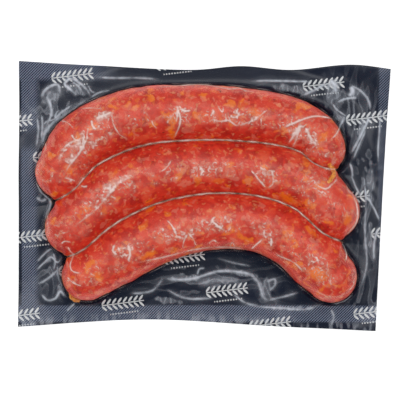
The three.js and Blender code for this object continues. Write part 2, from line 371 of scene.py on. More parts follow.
@dataclass(frozen=True)
class CoarseMeat:
    """Raw coarse-ground pork and beef in a thin wet hog casing: mottled red lean, orange spiced fat, pale
    gristle and pepper, so the eye reads a speckled, moist, saturated red."""

    name: str = "coarse_ground_sausage_meat"
    grain_mm: float = 2.4
    cloud_mm: float = 9.0
    chunk_mm: float = 3.4
    # How much the clouds, the grain and the chunks count in the tone of the lean
    cloud_share: float = 0.48
    grain_share: float = 0.22
    chunk_share: float = 0.30
    lean: Stops = ((0.28, "B4221A"), (0.41, "CE2E20"), (0.50, "DC3826"), (0.60, "E4462E"), (0.74, "EA5E3A"))
    # How far the patterns are pulled about, and how many pulls there are in a millimetre
    drift_mm: float = 6.0
    drift_scale: float = 0.22
    # Soft blobs: how strong, how wide in millimetres, the noise between which they fade in, and the colour
    blobs: tuple[tuple[float, float, float, float, str], ...] = (
        (0.75, 6.5, 0.59, 0.72, "F8801C"),
        (0.40, 3.1, 0.61, 0.74, "F08434"),
        (0.55, 5.0, 0.58, 0.72, "AE2018"),
        (0.25, 2.4, 0.60, 0.74, "B43024"),
    )
    # Larger pieces of spiced fat: the middle, half sizes in millimetres, turn in radians and strength
    fat: tuple[tuple[tuple[float, float], tuple[float, float], float, float], ...] = (
        ((60, -41), (7.5, 4.5), -0.4, 0.9),
        ((45, -1.5), (8, 2.2), -0.4, 0.75),
        ((60, 5), (3.5, 1.8), -0.3, 0.75),
        ((76, -13), (3, 4), 0.0, 0.7),
        ((-16.5, 32), (2, 4), 0.2, 0.8),
        ((27, 44), (6, 3), -0.6, 0.6),
        ((-59, 37), (4, 2.5), 0.7, 0.7),
        ((-48, 12), (4, 2), 0.6, 0.6),
        ((12, -20), (4, 1.6), 0.2, 0.7),
        ((-72, 14), (2.5, 4), 0.3, 0.5),
        ((8, 8), (5, 2), 0.0, 0.5),
        ((-30, -32), (5, 2), 0.5, 0.6),
        ((-57, -42), (4, 3), 0.4, 0.6),
    )
    fat_orange: str = "F87A12"
    # Gristle, then flecks of fat: how wide in millimetres, which random tone chooses them, the tones between
    # which they fade in, and the colour
    specks: tuple[tuple[float, str, float, float, str], ...] = (
        (2.6, "Red", 0.74, 0.90, "EFA084"),
        (1.5, "Green", 0.84, 0.92, "F8B47A"),
    )
    speck_strength: float = 0.3
    pepper_mm: float = 6.5
    pepper_brown: str = "4A1C14"
    pepper_strength: float = 0.7
    roughness: float = 0.36
    grain_depth_mm: float = 0.5

    def build(self) -> bpy.types.Material:
        """Makes the material.

        The lean's tone is the shares of clouds, grain and chunks added up. Blobs, fat, gristle, flecks and
        pepper are laid over it one after the other.

        Returns:
            The material, whose patterns lie in the piece's own millimetres.
        """
        material, tree = start_material(self.name)
        place = self.drifted(tree)
        grain = self.noise(tree, place, self.grain_mm, 2.0)
        tones = {
            "cloud": self.noise(tree, place, self.cloud_mm, 2.0),
            "grain": grain,
            "chunk": self.cells(tree, place, self.chunk_mm, 0.7).outputs["Red"],
        }
        tone = work_out(
            tree,
            tones,
            (
                ("tone", "MULTIPLY", "cloud", self.cloud_share),
                ("tone", "MULTIPLY_ADD", "grain", self.grain_share, "tone"),
                ("tone", "MULTIPLY_ADD", "chunk", self.chunk_share, "tone"),
            ),
        )["tone"]
        body = set_stops(add_node(tree, "ValToRGB", (tone,)), self.lean)
        for strength, size, low, high, code in self.blobs:
            body = self.lay(tree, body, self.noise(tree, place, size, 1.5), (low, high), strength, code)
        for centre, size, turn, strength in self.fat:
            ellipse = {"Location": (*centre, 0), "Rotation": (0, 0, turn), "Scale": (*size, 1000)}
            mapped = add_node(tree, "Mapping", {"Vector": place, **ellipse}, vector_type="TEXTURE")
            out = add_node(tree, "VectorMath", (mapped,), operation="LENGTH").outputs["Value"]
            body = self.lay(tree, body, out, (1.1, 0.3), strength, self.fat_orange)
        for size, channel, low, high, code in self.specks:
            chosen = self.cells(tree, place, size, 0.5).outputs[channel]
            body = self.lay(tree, body, chosen, (low, high), self.speck_strength, code)
        pepper = self.pepper(tree, place)
        body = self.lay(tree, body, pepper, None, self.pepper_strength, self.pepper_brown)
        depth = {"Height": grain, "Strength": 0.3, "Distance": self.grain_depth_mm * MM}
        finish = {
            "Base Color": body,
            "Roughness": self.roughness,
            "IOR": 1.36,
            "Normal": add_node(tree, "Bump", depth),
        }
        add_node(tree, "OutputMaterial", {"Surface": add_node(tree, "BsdfPrincipled", finish)})
        return material

    def drifted(self, tree: Tree) -> Node:
        """The piece's own millimetres, pulled about by the drift times coloured noise less its middle.

        Args:
            tree: the material's nodes.

        Returns:
            The pulled place.
        """
        place = millimetres(tree)
        noise = add_node(tree, "TexNoise", {"Vector": place, "Scale": self.drift_scale, "Detail": 3.0})
        colour, middle = noise.outputs["Color"], (0.5, 0.5, 0.5)
        centred = add_node(tree, "VectorMath", (colour, middle), operation="SUBTRACT")
        pull = add_node(tree, "VectorMath", {0: centred, "Scale": self.drift_mm}, operation="SCALE")
        return add_node(tree, "VectorMath", (place, pull), operation="ADD")

    def noise(self, tree: Tree, place: Node, size: float, detail: float) -> Node:
        """Soft noise whose blobs are about this many millimetres across."""
        return add_node(tree, "TexNoise", {"Vector": place, "Scale": 1 / size, "Detail": detail})

    def cells(self, tree: Tree, place: Node, size: float, smoothness: float) -> Node:
        """Soft-edged cells of about this many millimetres, each with its own random tones.

        Args:
            tree: the material's nodes.
            place: where the pattern lies, in millimetres.
            size: a cell's width in millimetres.
            smoothness: how soft the cells' edges are.

        Returns:
            The three random tones.
        """
        pattern = {"Vector": place, "Scale": 1 / size, "Smoothness": smoothness}
        colour = add_node(tree, "TexVoronoi", pattern, feature="SMOOTH_F1").outputs["Color"]
        return add_node(tree, "SeparateColor", (colour,))

    def pepper(self, tree: Tree, place: Node) -> Node:
        """Where a pepper grain shows: near the middle of each cell whose random tone is a high one.

        Args:
            tree: the material's nodes.
            place: where the pattern lies, in millimetres.

        Returns:
            1 on a grain and 0 elsewhere.
        """
        cells = add_node(tree, "TexVoronoi", {"Vector": place, "Scale": 1 / self.pepper_mm})
        tone = add_node(tree, "SeparateColor", (cells.outputs["Color"],)).outputs["Blue"]
        return work_out(
            tree,
            {"tone": tone, "away": cells.outputs["Distance"]},
            (
                ("chosen", "SOFT_STEP", "tone", 0.62, 0.66),
                ("close", "SOFT_STEP", "away", 0.11, 0.05),
                ("grain", "MULTIPLY", "chosen", "close"),
            ),
        )["grain"]

    def lay(
        self,
        tree: Tree,
        body: Node | Socket,
        cover: Node | Socket,
        limits: tuple[float, float] | None,
        strength: float,
        code: str,
    ) -> Socket:
        """Lays a colour over the body.

        Args:
            tree: the material's nodes.
            body: the colour so far.
            cover: what says where the new colour lies.
            limits: the cover's values at which it begins and is full, or None where it runs from 0 to 1.
            strength: how far a full cover hides the body.
            code: the new colour.

        Returns:
            The colour with the new one over it.
        """
        soft = (("cover", "SOFT_STEP", "cover", *limits),) if limits else ()
        laid = (("share", "MULTIPLY", "cover", strength), ("body", "BLEND", "share", "body", linear(code)))
        return work_out(tree, {"body": body, "cover": cover}, soft + laid)["body"]


@dataclass(frozen=True)
class TwistedCasing:
    """Dried twisted hog casing, stained by paprika fat: amber, waxy and streaked along its twist."""

    name: str = "twisted_hog_casing"
    twist_mm: float = 1.1
    amber: Stops = ((0.3, "B5561C"), (0.48, "E0862A"), (0.62, "F2A444"), (0.75, "F6C27C"))
    roughness: float = 0.3

    def build(self) -> bpy.types.Material:
        """Makes the material.

        Returns:
            The material.
        """
        material, tree = start_material(self.name)
        streaks = add_node(
            tree, "TexNoise", {"Vector": millimetres(tree), "Scale": 1 / self.twist_mm, "Detail": 3.0}
        )
        amber = set_stops(add_node(tree, "ValToRGB", (streaks,)), self.amber)
        finish = {"Base Color": amber, "Roughness": self.roughness, "IOR": 1.4}
        add_node(tree, "OutputMaterial", {"Surface": add_node(tree, "BsdfPrincipled", finish)})
        return material


@dataclass(frozen=True)
class PrintedLaminate:
    """Polyamide and polyethylene laminate, printed navy on its back and pressed by knurled sealing bars at
    its rim, so the eye reads a dark, smooth, bluish gloss with a pale print and a fine diagonal grain."""

    name: str = "navy_laminate_sheet"
    navy: str = "0A1222"
    lit_navy: str = "101A30"
    pressed_grey: str = "8893AC"
    print_white: str = "D9DCDD"
    # Drawn a little coarser than the real bars press it, so that it shows
    knurl_mm: float = 1.05
    knurl_depth_mm: float = 0.12
    # The sines between which a ridge rises, and the fainter ridges' share
    ridge_rise: tuple[float, float] = (0.25, 0.9)
    faint_share: float = 0.3
    roughness: float = 0.24
    # The print in millimetres: its repeat, the sprig's half length, and its leaves' pitch, place, half sizes
    # and slant
    repeat_x: float = 57.0
    repeat_y: float = 21.0
    half_length: float = 11.6
    leaf_pitch: float = 2.9
    leaf_out: float = 1.75
    leaf_half_x: float = 0.75
    leaf_half_y: float = 1.45
    leaf_slant: float = 0.75
    # The row of dots under it
    dot_pitch: float = 1.5
    dots_below: float = 5.4
    dots_half: float = 7.5
    dot_strength: float = 0.8
    # How far each row of sprigs is shifted, as a share of the repeat, and the print's turn in radians
    row_shift: float = 0.37
    turn: float = -0.12

    def build(self) -> bpy.types.Material:
        """Makes the material. The vertex attribute "seal" is 1 where the bars pressed the sheet.

        Returns:
            The material.
        """
        material, tree = start_material(self.name)
        place = millimetres(tree)
        sheet = work_out(
            tree,
            {
                "seal": add_node(tree, "Attribute", attribute_name="seal").outputs["Fac"],
                "cloud": add_node(tree, "TexNoise", {"Vector": place, "Scale": 0.05, "Detail": 2.0}),
                "knurl": self.knurl(tree, place),
                "sprigs": self.sprigs(tree, place),
            },
            (
                ("pressed", "MULTIPLY", "seal", "knurl"),
                ("ground", "BLEND", "cloud", linear(self.navy), linear(self.lit_navy)),
                ("ground", "BLEND", "pressed", "ground", linear(self.pressed_grey)),
                ("ground", "BLEND", "sprigs", "ground", linear(self.print_white)),
            ),
        )
        depth = {"Height": sheet["pressed"], "Strength": 0.5, "Distance": self.knurl_depth_mm * MM}
        finish = {
            "Base Color": sheet["ground"],
            "Roughness": self.roughness,
            "IOR": 1.42,
            "Normal": add_node(tree, "Bump", depth),
        }
        add_node(tree, "OutputMaterial", {"Surface": add_node(tree, "BsdfPrincipled", finish)})
        return material

    def knurl(self, tree: Tree, place: Node) -> Node:
        """Two sets of diagonal ridges, one much fainter: the higher of two sines of x + y and x - y.

        Args:
            tree: the material's nodes.
            place: where the pattern lies, in millimetres.

        Returns:
            The ridges, from 0 to 1.
        """
        axes = add_node(tree, "SeparateXYZ", (place,)).outputs
        turn = 2 * math.pi / (self.knurl_mm * math.sqrt(2))
        return work_out(
            tree,
            {"x": axes["X"], "y": axes["Y"]},
            (
                ("falling", "ADD", "x", "y"),
                ("falling", "MULTIPLY", "falling", turn),
                ("falling", "SINE", "falling"),
                ("falling", "SOFT_STEP", "falling", *self.ridge_rise),
                ("falling", "MULTIPLY", "falling", self.faint_share),
                ("rising", "SUBTRACT", "x", "y"),
                ("rising", "MULTIPLY", "rising", turn),
                ("rising", "SINE", "rising"),
                ("rising", "SOFT_STEP", "rising", *self.ridge_rise),
                ("ridges", "MAXIMUM", "falling", "rising"),
            ),
        )["ridges"]

    def sprigs(self, tree: Tree, place: Node) -> Node:
        """A plain leafy sprig over a row of dots, repeated in staggered rows.

        A leaf is where the squares of x and y, over its half sizes, add up to less than 1. Leaves are slanted
        by shifting x with the distance from the stem, and a dot is where the squares of x and y are small.

        Args:
            tree: the material's nodes.
            place: where the pattern lies, in millimetres.

        Returns:
            1 on the print and 0 elsewhere.
        """
        turned = add_node(tree, "VectorRotate", {"Vector": place, "Angle": self.turn}, rotation_type="Z_AXIS")
        axes = add_node(tree, "SeparateXYZ", (turned,)).outputs
        half_x, half_leaf, half_dot = self.repeat_x / 2, self.leaf_pitch / 2, self.dot_pitch / 2
        return work_out(
            tree,
            {"x": axes["X"], "y": axes["Y"]},
            (
                ("row", "DIVIDE", "y", self.repeat_y),
                ("row", "FLOOR", "row"),
                ("x", "MULTIPLY_ADD", "row", self.repeat_x * self.row_shift, "x"),
                ("x", "WRAP", "x", half_x, -half_x),
                ("y", "WRAP", "y", self.repeat_y, 0.0),
                ("y", "SUBTRACT", "y", self.repeat_y / 2),
                ("out", "ABSOLUTE", "x"),
                ("side", "ABSOLUTE", "y"),
                ("leaf_x", "MULTIPLY", "side", self.leaf_slant),
                ("leaf_x", "SUBTRACT", "x", "leaf_x"),
                ("leaf_x", "WRAP", "leaf_x", half_leaf, -half_leaf),
                ("leaf_x", "DIVIDE", "leaf_x", self.leaf_half_x),
                ("leaf_y", "SUBTRACT", "side", self.leaf_out),
                ("leaf_y", "DIVIDE", "leaf_y", self.leaf_half_y),
                ("leaf_y", "MULTIPLY", "leaf_y", "leaf_y"),
                ("leaf", "MULTIPLY_ADD", "leaf_x", "leaf_x", "leaf_y"),
                ("leaf", "SOFT_STEP", "leaf", 1.15, 0.8),
                ("stem", "SOFT_STEP", "side", 0.32, 0.2),
                ("within", "SOFT_STEP", "out", self.half_length, self.half_length - 0.4),
                ("sprig", "MAXIMUM", "leaf", "stem"),
                ("sprig", "MULTIPLY", "sprig", "within"),
                ("dot_x", "WRAP", "x", half_dot, -half_dot),
                ("dot_y", "ADD", "y", self.dots_below),
                ("dot_y", "MULTIPLY", "dot_y", "dot_y"),
                ("dot", "MULTIPLY_ADD", "dot_x", "dot_x", "dot_y"),
                ("dot", "SOFT_STEP", "dot", 0.3, 0.12),
                ("within", "SOFT_STEP", "out", self.dots_half + 0.2, self.dots_half),
                ("dot", "MULTIPLY", "dot", "within"),
                ("dot", "MULTIPLY", "dot", self.dot_strength),
                ("print", "MAXIMUM", "sprig", "dot"),
            ),
        )["print"]


@dataclass(frozen=True)
class ClearFilm:
    """Shrunk clear polyethylene film: it can't be seen where it is wet down onto the meat, and turns into
    pale veils and hard bright creases wherever it stands off, into which highlights and reflections are
    painted."""

    name: str = "clear_shrink_film"
    # What the film scatters over the backing, and over the meat where it is thin and where it is thick; these
    # are also the colours of its painted highlights and reflections
    over_backing: str = "E0E7F3"
    thin_over_meat: str = "FFC9AC"
    thick_over_meat: str = "FFEAE2"
    # The mirror's share seen straight on, where the rim's share is straight_on, its most at the edge of
    # sight, and what is left of it on the backing, to which the film is bonded
    shine: float = 0.015
    straight_on: float = 0.034
    most_shine: float = 0.035
    most_over_meat: float = 0.02
    bonded_shine: float = 0.5
    roughness: float = 0.34
    # How deep the film ripples over the meat, and how much of that counts there
    ripple_mm: float = 0.35
    ripple_share: float = 0.35

    def build(self) -> bpy.types.Material:
        """Makes the material.

        The first vertex attribute is how much the film hides where it stands off, and it also paints
        highlights and reflections; "warm" is 1 over the meat, whose red tints what the film scatters. Its
        gloss is a mirror that grows towards the edge of sight, and its haze and painted light are a white
        plastic, so the metallic share is mirror / (mirror + haze).

        Returns:
            The material.
        """
        material, tree = start_material(self.name)
        skin = work_out(
            tree,
            {
                "haze_and_painted_light": add_node(tree, "Attribute", attribute_name="haze_and_painted_light").outputs["Fac"],
                "warm": add_node(tree, "Attribute", attribute_name="warm").outputs["Fac"],
                "rim": add_node(tree, "Fresnel", {"IOR": 1.45}),
            },
            (
                ("most", "MULTIPLY_ADD", "warm", self.most_over_meat - self.most_shine, self.most_shine),
                ("mirror", "MULTIPLY", "rim", self.shine / self.straight_on),
                ("mirror", "MINIMUM", "mirror", "most"),
                ("bonded", "MULTIPLY_ADD", "warm", 1 - self.bonded_shine, self.bonded_shine),
                ("mirror", "MULTIPLY", "mirror", "bonded"),
                ("cover", "ADD", "mirror", "haze_and_painted_light"),
                ("metal", "DIVIDE", "mirror", "cover"),
                ("thick", "SOFT_STEP", "haze_and_painted_light", 0.1, 0.7),
                ("tint", "BLEND", "thick", linear(self.thin_over_meat), linear(self.thick_over_meat)),
                ("tint", "BLEND", "warm", linear(self.over_backing), "tint"),
                ("rippled", "MULTIPLY", "warm", self.ripple_share),
            ),
        )
        ripples = {"Vector": millimetres(tree), "Scale": 0.8, "Detail": 3.0, "Distortion": 0.8}
        depth = {
            "Height": add_node(tree, "TexNoise", ripples),
            "Strength": skin["rippled"],
            "Distance": self.ripple_mm * MM,
        }
        finish = {
            "Base Color": skin["tint"],
            "Metallic": skin["metal"],
            "Roughness": self.roughness,
            "Normal": add_node(tree, "Bump", depth),
        }
        clear, plastic = add_node(tree, "BsdfTransparent"), add_node(tree, "BsdfPrincipled", finish)
        film = add_node(tree, "MixShader", (skin["cover"], clear, plastic))
        add_node(tree, "OutputMaterial", {"Surface": film})
        return material


@dataclass(frozen=True)
class StudioPaper:
    """Matt white background film on a light table: an even white ground that glows a little."""

    name: str = "white_paper_ground"
    grey: str = "D0D0D0"
    glow: float = 0.75

    def build(self) -> bpy.types.Material:
        """Makes the material.

        Returns:
            The material.
        """
        material, tree = start_material(self.name)
        finish = {
            "Base Color": linear(self.grey),
            "Roughness": 0.9,
            "Emission Color": linear("FFFFFF"),
            "Emission Strength": self.glow,
        }
        add_node(tree, "OutputMaterial", {"Surface": add_node(tree, "BsdfPrincipled", finish)})
        return material


@dataclass(frozen=True)
class Spine:
    """A sausage's centre line in plan and its radius along it, in millimetres."""

    path: Points
    radii: tuple[float, ...]
    line: np.ndarray = field(init=False, repr=False)

    def __post_init__(self) -> None:
        """Works the line out once."""
        object.__setattr__(self, "line", resample(smooth_line(self.path), 64))

    def radius(self, share: np.ndarray) -> np.ndarray:
        """The radius at shares of the length, on a smooth line through the given ones.

        Args:
            share: shares of the line's length.

        Returns:
            The radius at each share.
        """
        places = tuple((i / (len(self.radii) - 1), r) for i, r in enumerate(self.radii))
        curve = smooth_line(places)
        return np.interp(share, curve[:, 0], curve[:, 1])

    def measure(self, x: np.ndarray, y: np.ndarray) -> tuple[np.ndarray, ...]:
        """The distance of points from the line in plan, the radius there, and the nearest place's x and y."""
        distance, share, near_x, near_y = nearest_on(self.line, x, y)
        return distance, self.radius(share), near_x, near_y


# Half the pack's sizes, and its front and back edges, which the vacuum has drawn in a little
HALF_LENGTH = 101.0
HALF_WIDTH = 73.3
FRONT_EDGE = ((-101, -71), (-30, -67.2), (40, -71), (93, -73.3))
BACK_EDGE = ((-100.5, 73.3), (-60, 71), (-5, 68.6), (20, 70.6), (47, 68.6), (80, 71.4), (101, 68.7))
# The sausages' mean radius, the height that they lie at, and a spine's height over that as a share of the
# radius
MEAN_RADIUS = 14.5
FLOOR_MM = 0.9
FLAT_BELOW = 0.93
SPINES = {
    "sausage_back": Spine(
        path=(
            (-76.6, 12.6),
            (-68.6, 26.7),
            (-53.4, 36.7),
            (-34.4, 43.0),
            (-7.5, 44.7),
            (19.4, 43.5),
            (44.9, 39.9),
            (55.0, 35.9),
            (61.2, 31.0),
            (64.3, 25.2),
        ),
        radii=(14.0, 15.8, 15.3, 14.9, 14.0, 12.0),
    ),
    "sausage_middle": Spine(
        path=(
            (-71.0, -17.0),
            (-61.3, -6.5),
            (-46.8, 3.8),
            (-29.0, 11.3),
            (-7.5, 15.1),
            (16.7, 15.6),
            (39.2, 12.1),
            (57.8, 4.1),
            (68.6, -8.5),
        ),
        radii=(14.6, 16.0, 15.2, 14.5, 14.8, 14.9),
    ),
    "sausage_front": Spine(
        path=(
            (-63.1, -42.9),
            (-51.2, -35.4),
            (-33.2, -24.6),
            (-10.2, -16.1),
            (11.3, -13.4),
            (31.2, -15.6),
            (47.2, -23.2),
            (58.9, -33.4),
            (68.3, -43.5),
        ),
        radii=(13.4, 14.8, 15.8, 15.7, 15.4, 15.2, 15.1, 15.1, 15.3, 15.5, 13.9),
    ),
}
TAILS = {
    "sausage_back": (
        (65.2, 20.4, 16.8),
        (67.4, 16.4, 20.5),
        (69.2, 12.4, 24.2),
        (67.6, 9.0, 26.4),
        (65.2, 6.6, 27.6),
    ),
    "sausage_front": ((-69.6, -49.6, 10.2), (-72.0, -52.8, 9.0), (-70.8, -55.6, 8.2), (-67.0, -56.8, 7.8)),
}


def meat_lumps(x: np.ndarray, y: np.ndarray) -> np.ndarray:
    """How far the coarse meat bulges the skin, in millimetres, which the film over it follows too: the sum of
    three sizes of noise in plan, each times its height.

    Args:
        x: places along the pack.
        y: places across it.

    Returns:
        The bulge at each place.
    """
    return sum(
        gradient_noise(x / size, y / size, seed) * height
        for size, height, seed in ((11.0, 0.30, 5), (5.2, 0.20, 6), (2.6, 0.08, 7))
    )


def swell(own: np.ndarray, other: np.ndarray) -> np.ndarray:
    """How much wider a sausage grows where a narrow gap is left beside it, as the vacuum draws the meat in.

    The mean of the shares of both radii, less 1, is half the gap. Up to a twelfth of the radius is taken up,
    and nothing where the gap is wide or over the sausage's crown.

    Args:
        own: the distance from the own spine as a share of the radius.
        other: the same from the nearest neighbour.

    Returns:
        The share by which the width grows.
    """
    middle = (own + other) / 2
    return np.clip(middle - 1, 0, 0.08) * (1 - smoothstep(middle, 1.08, 1.18)) * smoothstep(own, 0.35, 0.9)


@dataclass
class Sausage:
    """One sausage: a round tube along its spine with round ends, flat where it lies and where it presses on
    its neighbours, and lumpy from the coarse meat."""

    name: str
    spine: Spine
    neighbours: tuple[Spine, ...]
    body_rings: int = 300
    cap_rings: int = 34
    around: int = 190
    press_gap: float = 0.7
    press_passes: int = 10

    def cap(self, end: np.ndarray, outward: np.ndarray, radius: float, angles: np.ndarray) -> tuple:
        """A round end's rings: centres, radius times sine past the end, and radii, radius times cosine."""
        return end + outward * (radius * np.sin(angles))[:, None], radius * np.cos(angles)

    def rings(self) -> tuple[np.ndarray, ...]:
        """The rings along the sausage, those of both round ends included.

        Returns:
            Centres and forward directions in plan, the rings' radii, and the body's radii beside them.
        """
        line = resample(self.spine.line, self.body_rings)
        forward = np.gradient(line, axis=0)
        forward /= np.linalg.norm(forward, axis=1)[:, None]
        radius = self.spine.radius(np.linspace(0, 1, self.body_rings))
        angles = np.linspace(np.pi / 2, 0, self.cap_rings + 2)[1:-1]
        first, first_radii = self.cap(line[0], -forward[0], radius[0], angles)
        last, last_radii = self.cap(line[-1], forward[-1], radius[-1], angles[::-1])
        ends = (self.cap_rings, self.cap_rings)
        return (
            np.vstack([first, line, last]),
            np.pad(forward, (ends, (0, 0)), mode="edge"),
            np.concatenate([first_radii, radius, last_radii]),
            np.pad(radius, ends, mode="edge"),
        )

    def build(self, material: bpy.types.Material) -> bpy.types.Object:
        """Makes the sausage's mesh: each ring is a circle whose radius the lumps change, fading at the ends.

        Args:
            material: the meat's finish.

        Returns:
            The piece, a closed skin with a point at each end.
        """
        centres, forward, ring_radius, body_radius = self.rings()
        left = np.stack([-forward[:, 1], forward[:, 0]], 1)
        theta = np.linspace(0, 2 * np.pi, self.around, endpoint=False)
        height = FLOOR_MM + FLAT_BELOW * body_radius
        out_x, out_y = left[:, :1] * np.cos(theta), left[:, 1:] * np.cos(theta)
        round_x = centres[:, :1] + out_x * ring_radius[:, None]
        round_y = centres[:, 1:] + out_y * ring_radius[:, None]
        fading = np.clip(ring_radius / body_radius * 2, 0, 1)[:, None]
        reach = ring_radius[:, None] + meat_lumps(round_x, round_y) * fading
        x, y = self.press(centres[:, :1] + out_x * reach, centres[:, 1:] + out_y * reach)
        z = height[:, None] + np.sin(theta) * reach
        tips = [
            [*(self.spine.line[end] + forward[end] * sign * body_radius[end]), height[end]]
            for end, sign in ((0, -1), (-1, 1))
        ]
        points = np.vstack([np.stack([x, y, z], -1).reshape(-1, 3), tips])
        points[:, 2] = np.maximum(points[:, 2], FLOOR_MM)
        rows = len(centres)
        quads = grid_faces(rows, self.around, closed=True)
        piece = make_piece(self.name, points, quads, end_fans(rows, self.around))
        piece.data.materials.append(material)
        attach(piece, ROOT)
        return piece

    def press(self, x: np.ndarray, y: np.ndarray) -> tuple[np.ndarray, np.ndarray]:
        """Widens the skin towards a neighbour, and draws skin that reaches past the seam back again.

        The first step swells it. The seam runs where a point is the same share of both radii away from both
        spines, and each pass after that takes off half of what reaches over it or into the gap left there.

        Args:
            x: the skin's places along the pack.
            y: its places across it.

        Returns:
            The skin's x and y.
        """
        for step in range(self.press_passes + 1):
            own, own_radius, near_x, near_y = self.spine.measure(x, y)
            other = np.full(x.shape, np.inf)
            for spine in self.neighbours:
                distance, radius, *_ = spine.measure(x, y)
                other = np.minimum(other, distance / radius)
            if step == 0:
                scale = 1 + swell(own / own_radius, other)
            else:
                excess = np.clip((own / own_radius - other) * own_radius + self.press_gap, 0, None) / 2
                scale = 1 - np.minimum(excess / np.maximum(own, 1e-6), 1)
            x, y = near_x + (x - near_x) * scale, near_y + (y - near_y) * scale
        return x, y


@dataclass
class CasingTail:
    """The twisted end of a casing: a thin wrinkled tube along its path, closed at both ends."""

    name: str
    path: Points
    radius: float = 1.35
    rings: int = 60
    around: int = 20

    def build(self, material: bpy.types.Material) -> bpy.types.Object:
        """Makes the tail: each ring's radius swells by a sine of three times its angle, which turns along it.

        Both ends close by the root of 1 less the ninth power of the distance from the middle.

        Args:
            material: the casing's finish.

        Returns:
            The piece.
        """
        line = resample(smooth_line(self.path), self.rings)
        forward = np.gradient(line, axis=0)
        forward /= np.linalg.norm(forward, axis=1)[:, None]
        side = np.cross(forward, (0.0, 0.0, 1.0))
        side /= np.linalg.norm(side, axis=1)[:, None]
        up = np.cross(side, forward)
        share = np.linspace(0, 1, self.rings)[:, None]
        theta = np.linspace(0, 2 * np.pi, self.around, endpoint=False)
        closing = np.sqrt(np.clip(1 - np.abs(2 * share - 1) ** 9, 0.02, 1))
        radius = self.radius * closing * (0.86 + 0.14 * np.sin(3 * theta + share * 26))
        ring = side[:, None] * np.cos(theta)[:, None] + up[:, None] * np.sin(theta)[:, None]
        points = (line[:, None] + ring * radius[..., None]).reshape(-1, 3)
        points = np.vstack([points, line[0], line[-1]])
        quads = grid_faces(self.rings, self.around, closed=True)
        piece = make_piece(self.name, points, quads, end_fans(self.rings, self.around))
        piece.data.materials.append(material)
        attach(piece, ROOT)
        return piece


@dataclass(frozen=True)
class Fold:
    """A crease: its path in plan, how high its crest stands, how far its sides reach, and how pale it is, as
    whitened film with a painted highlight.
    """

    path: Points
    height: float
    reach: float
    haze_and_painted_light: float


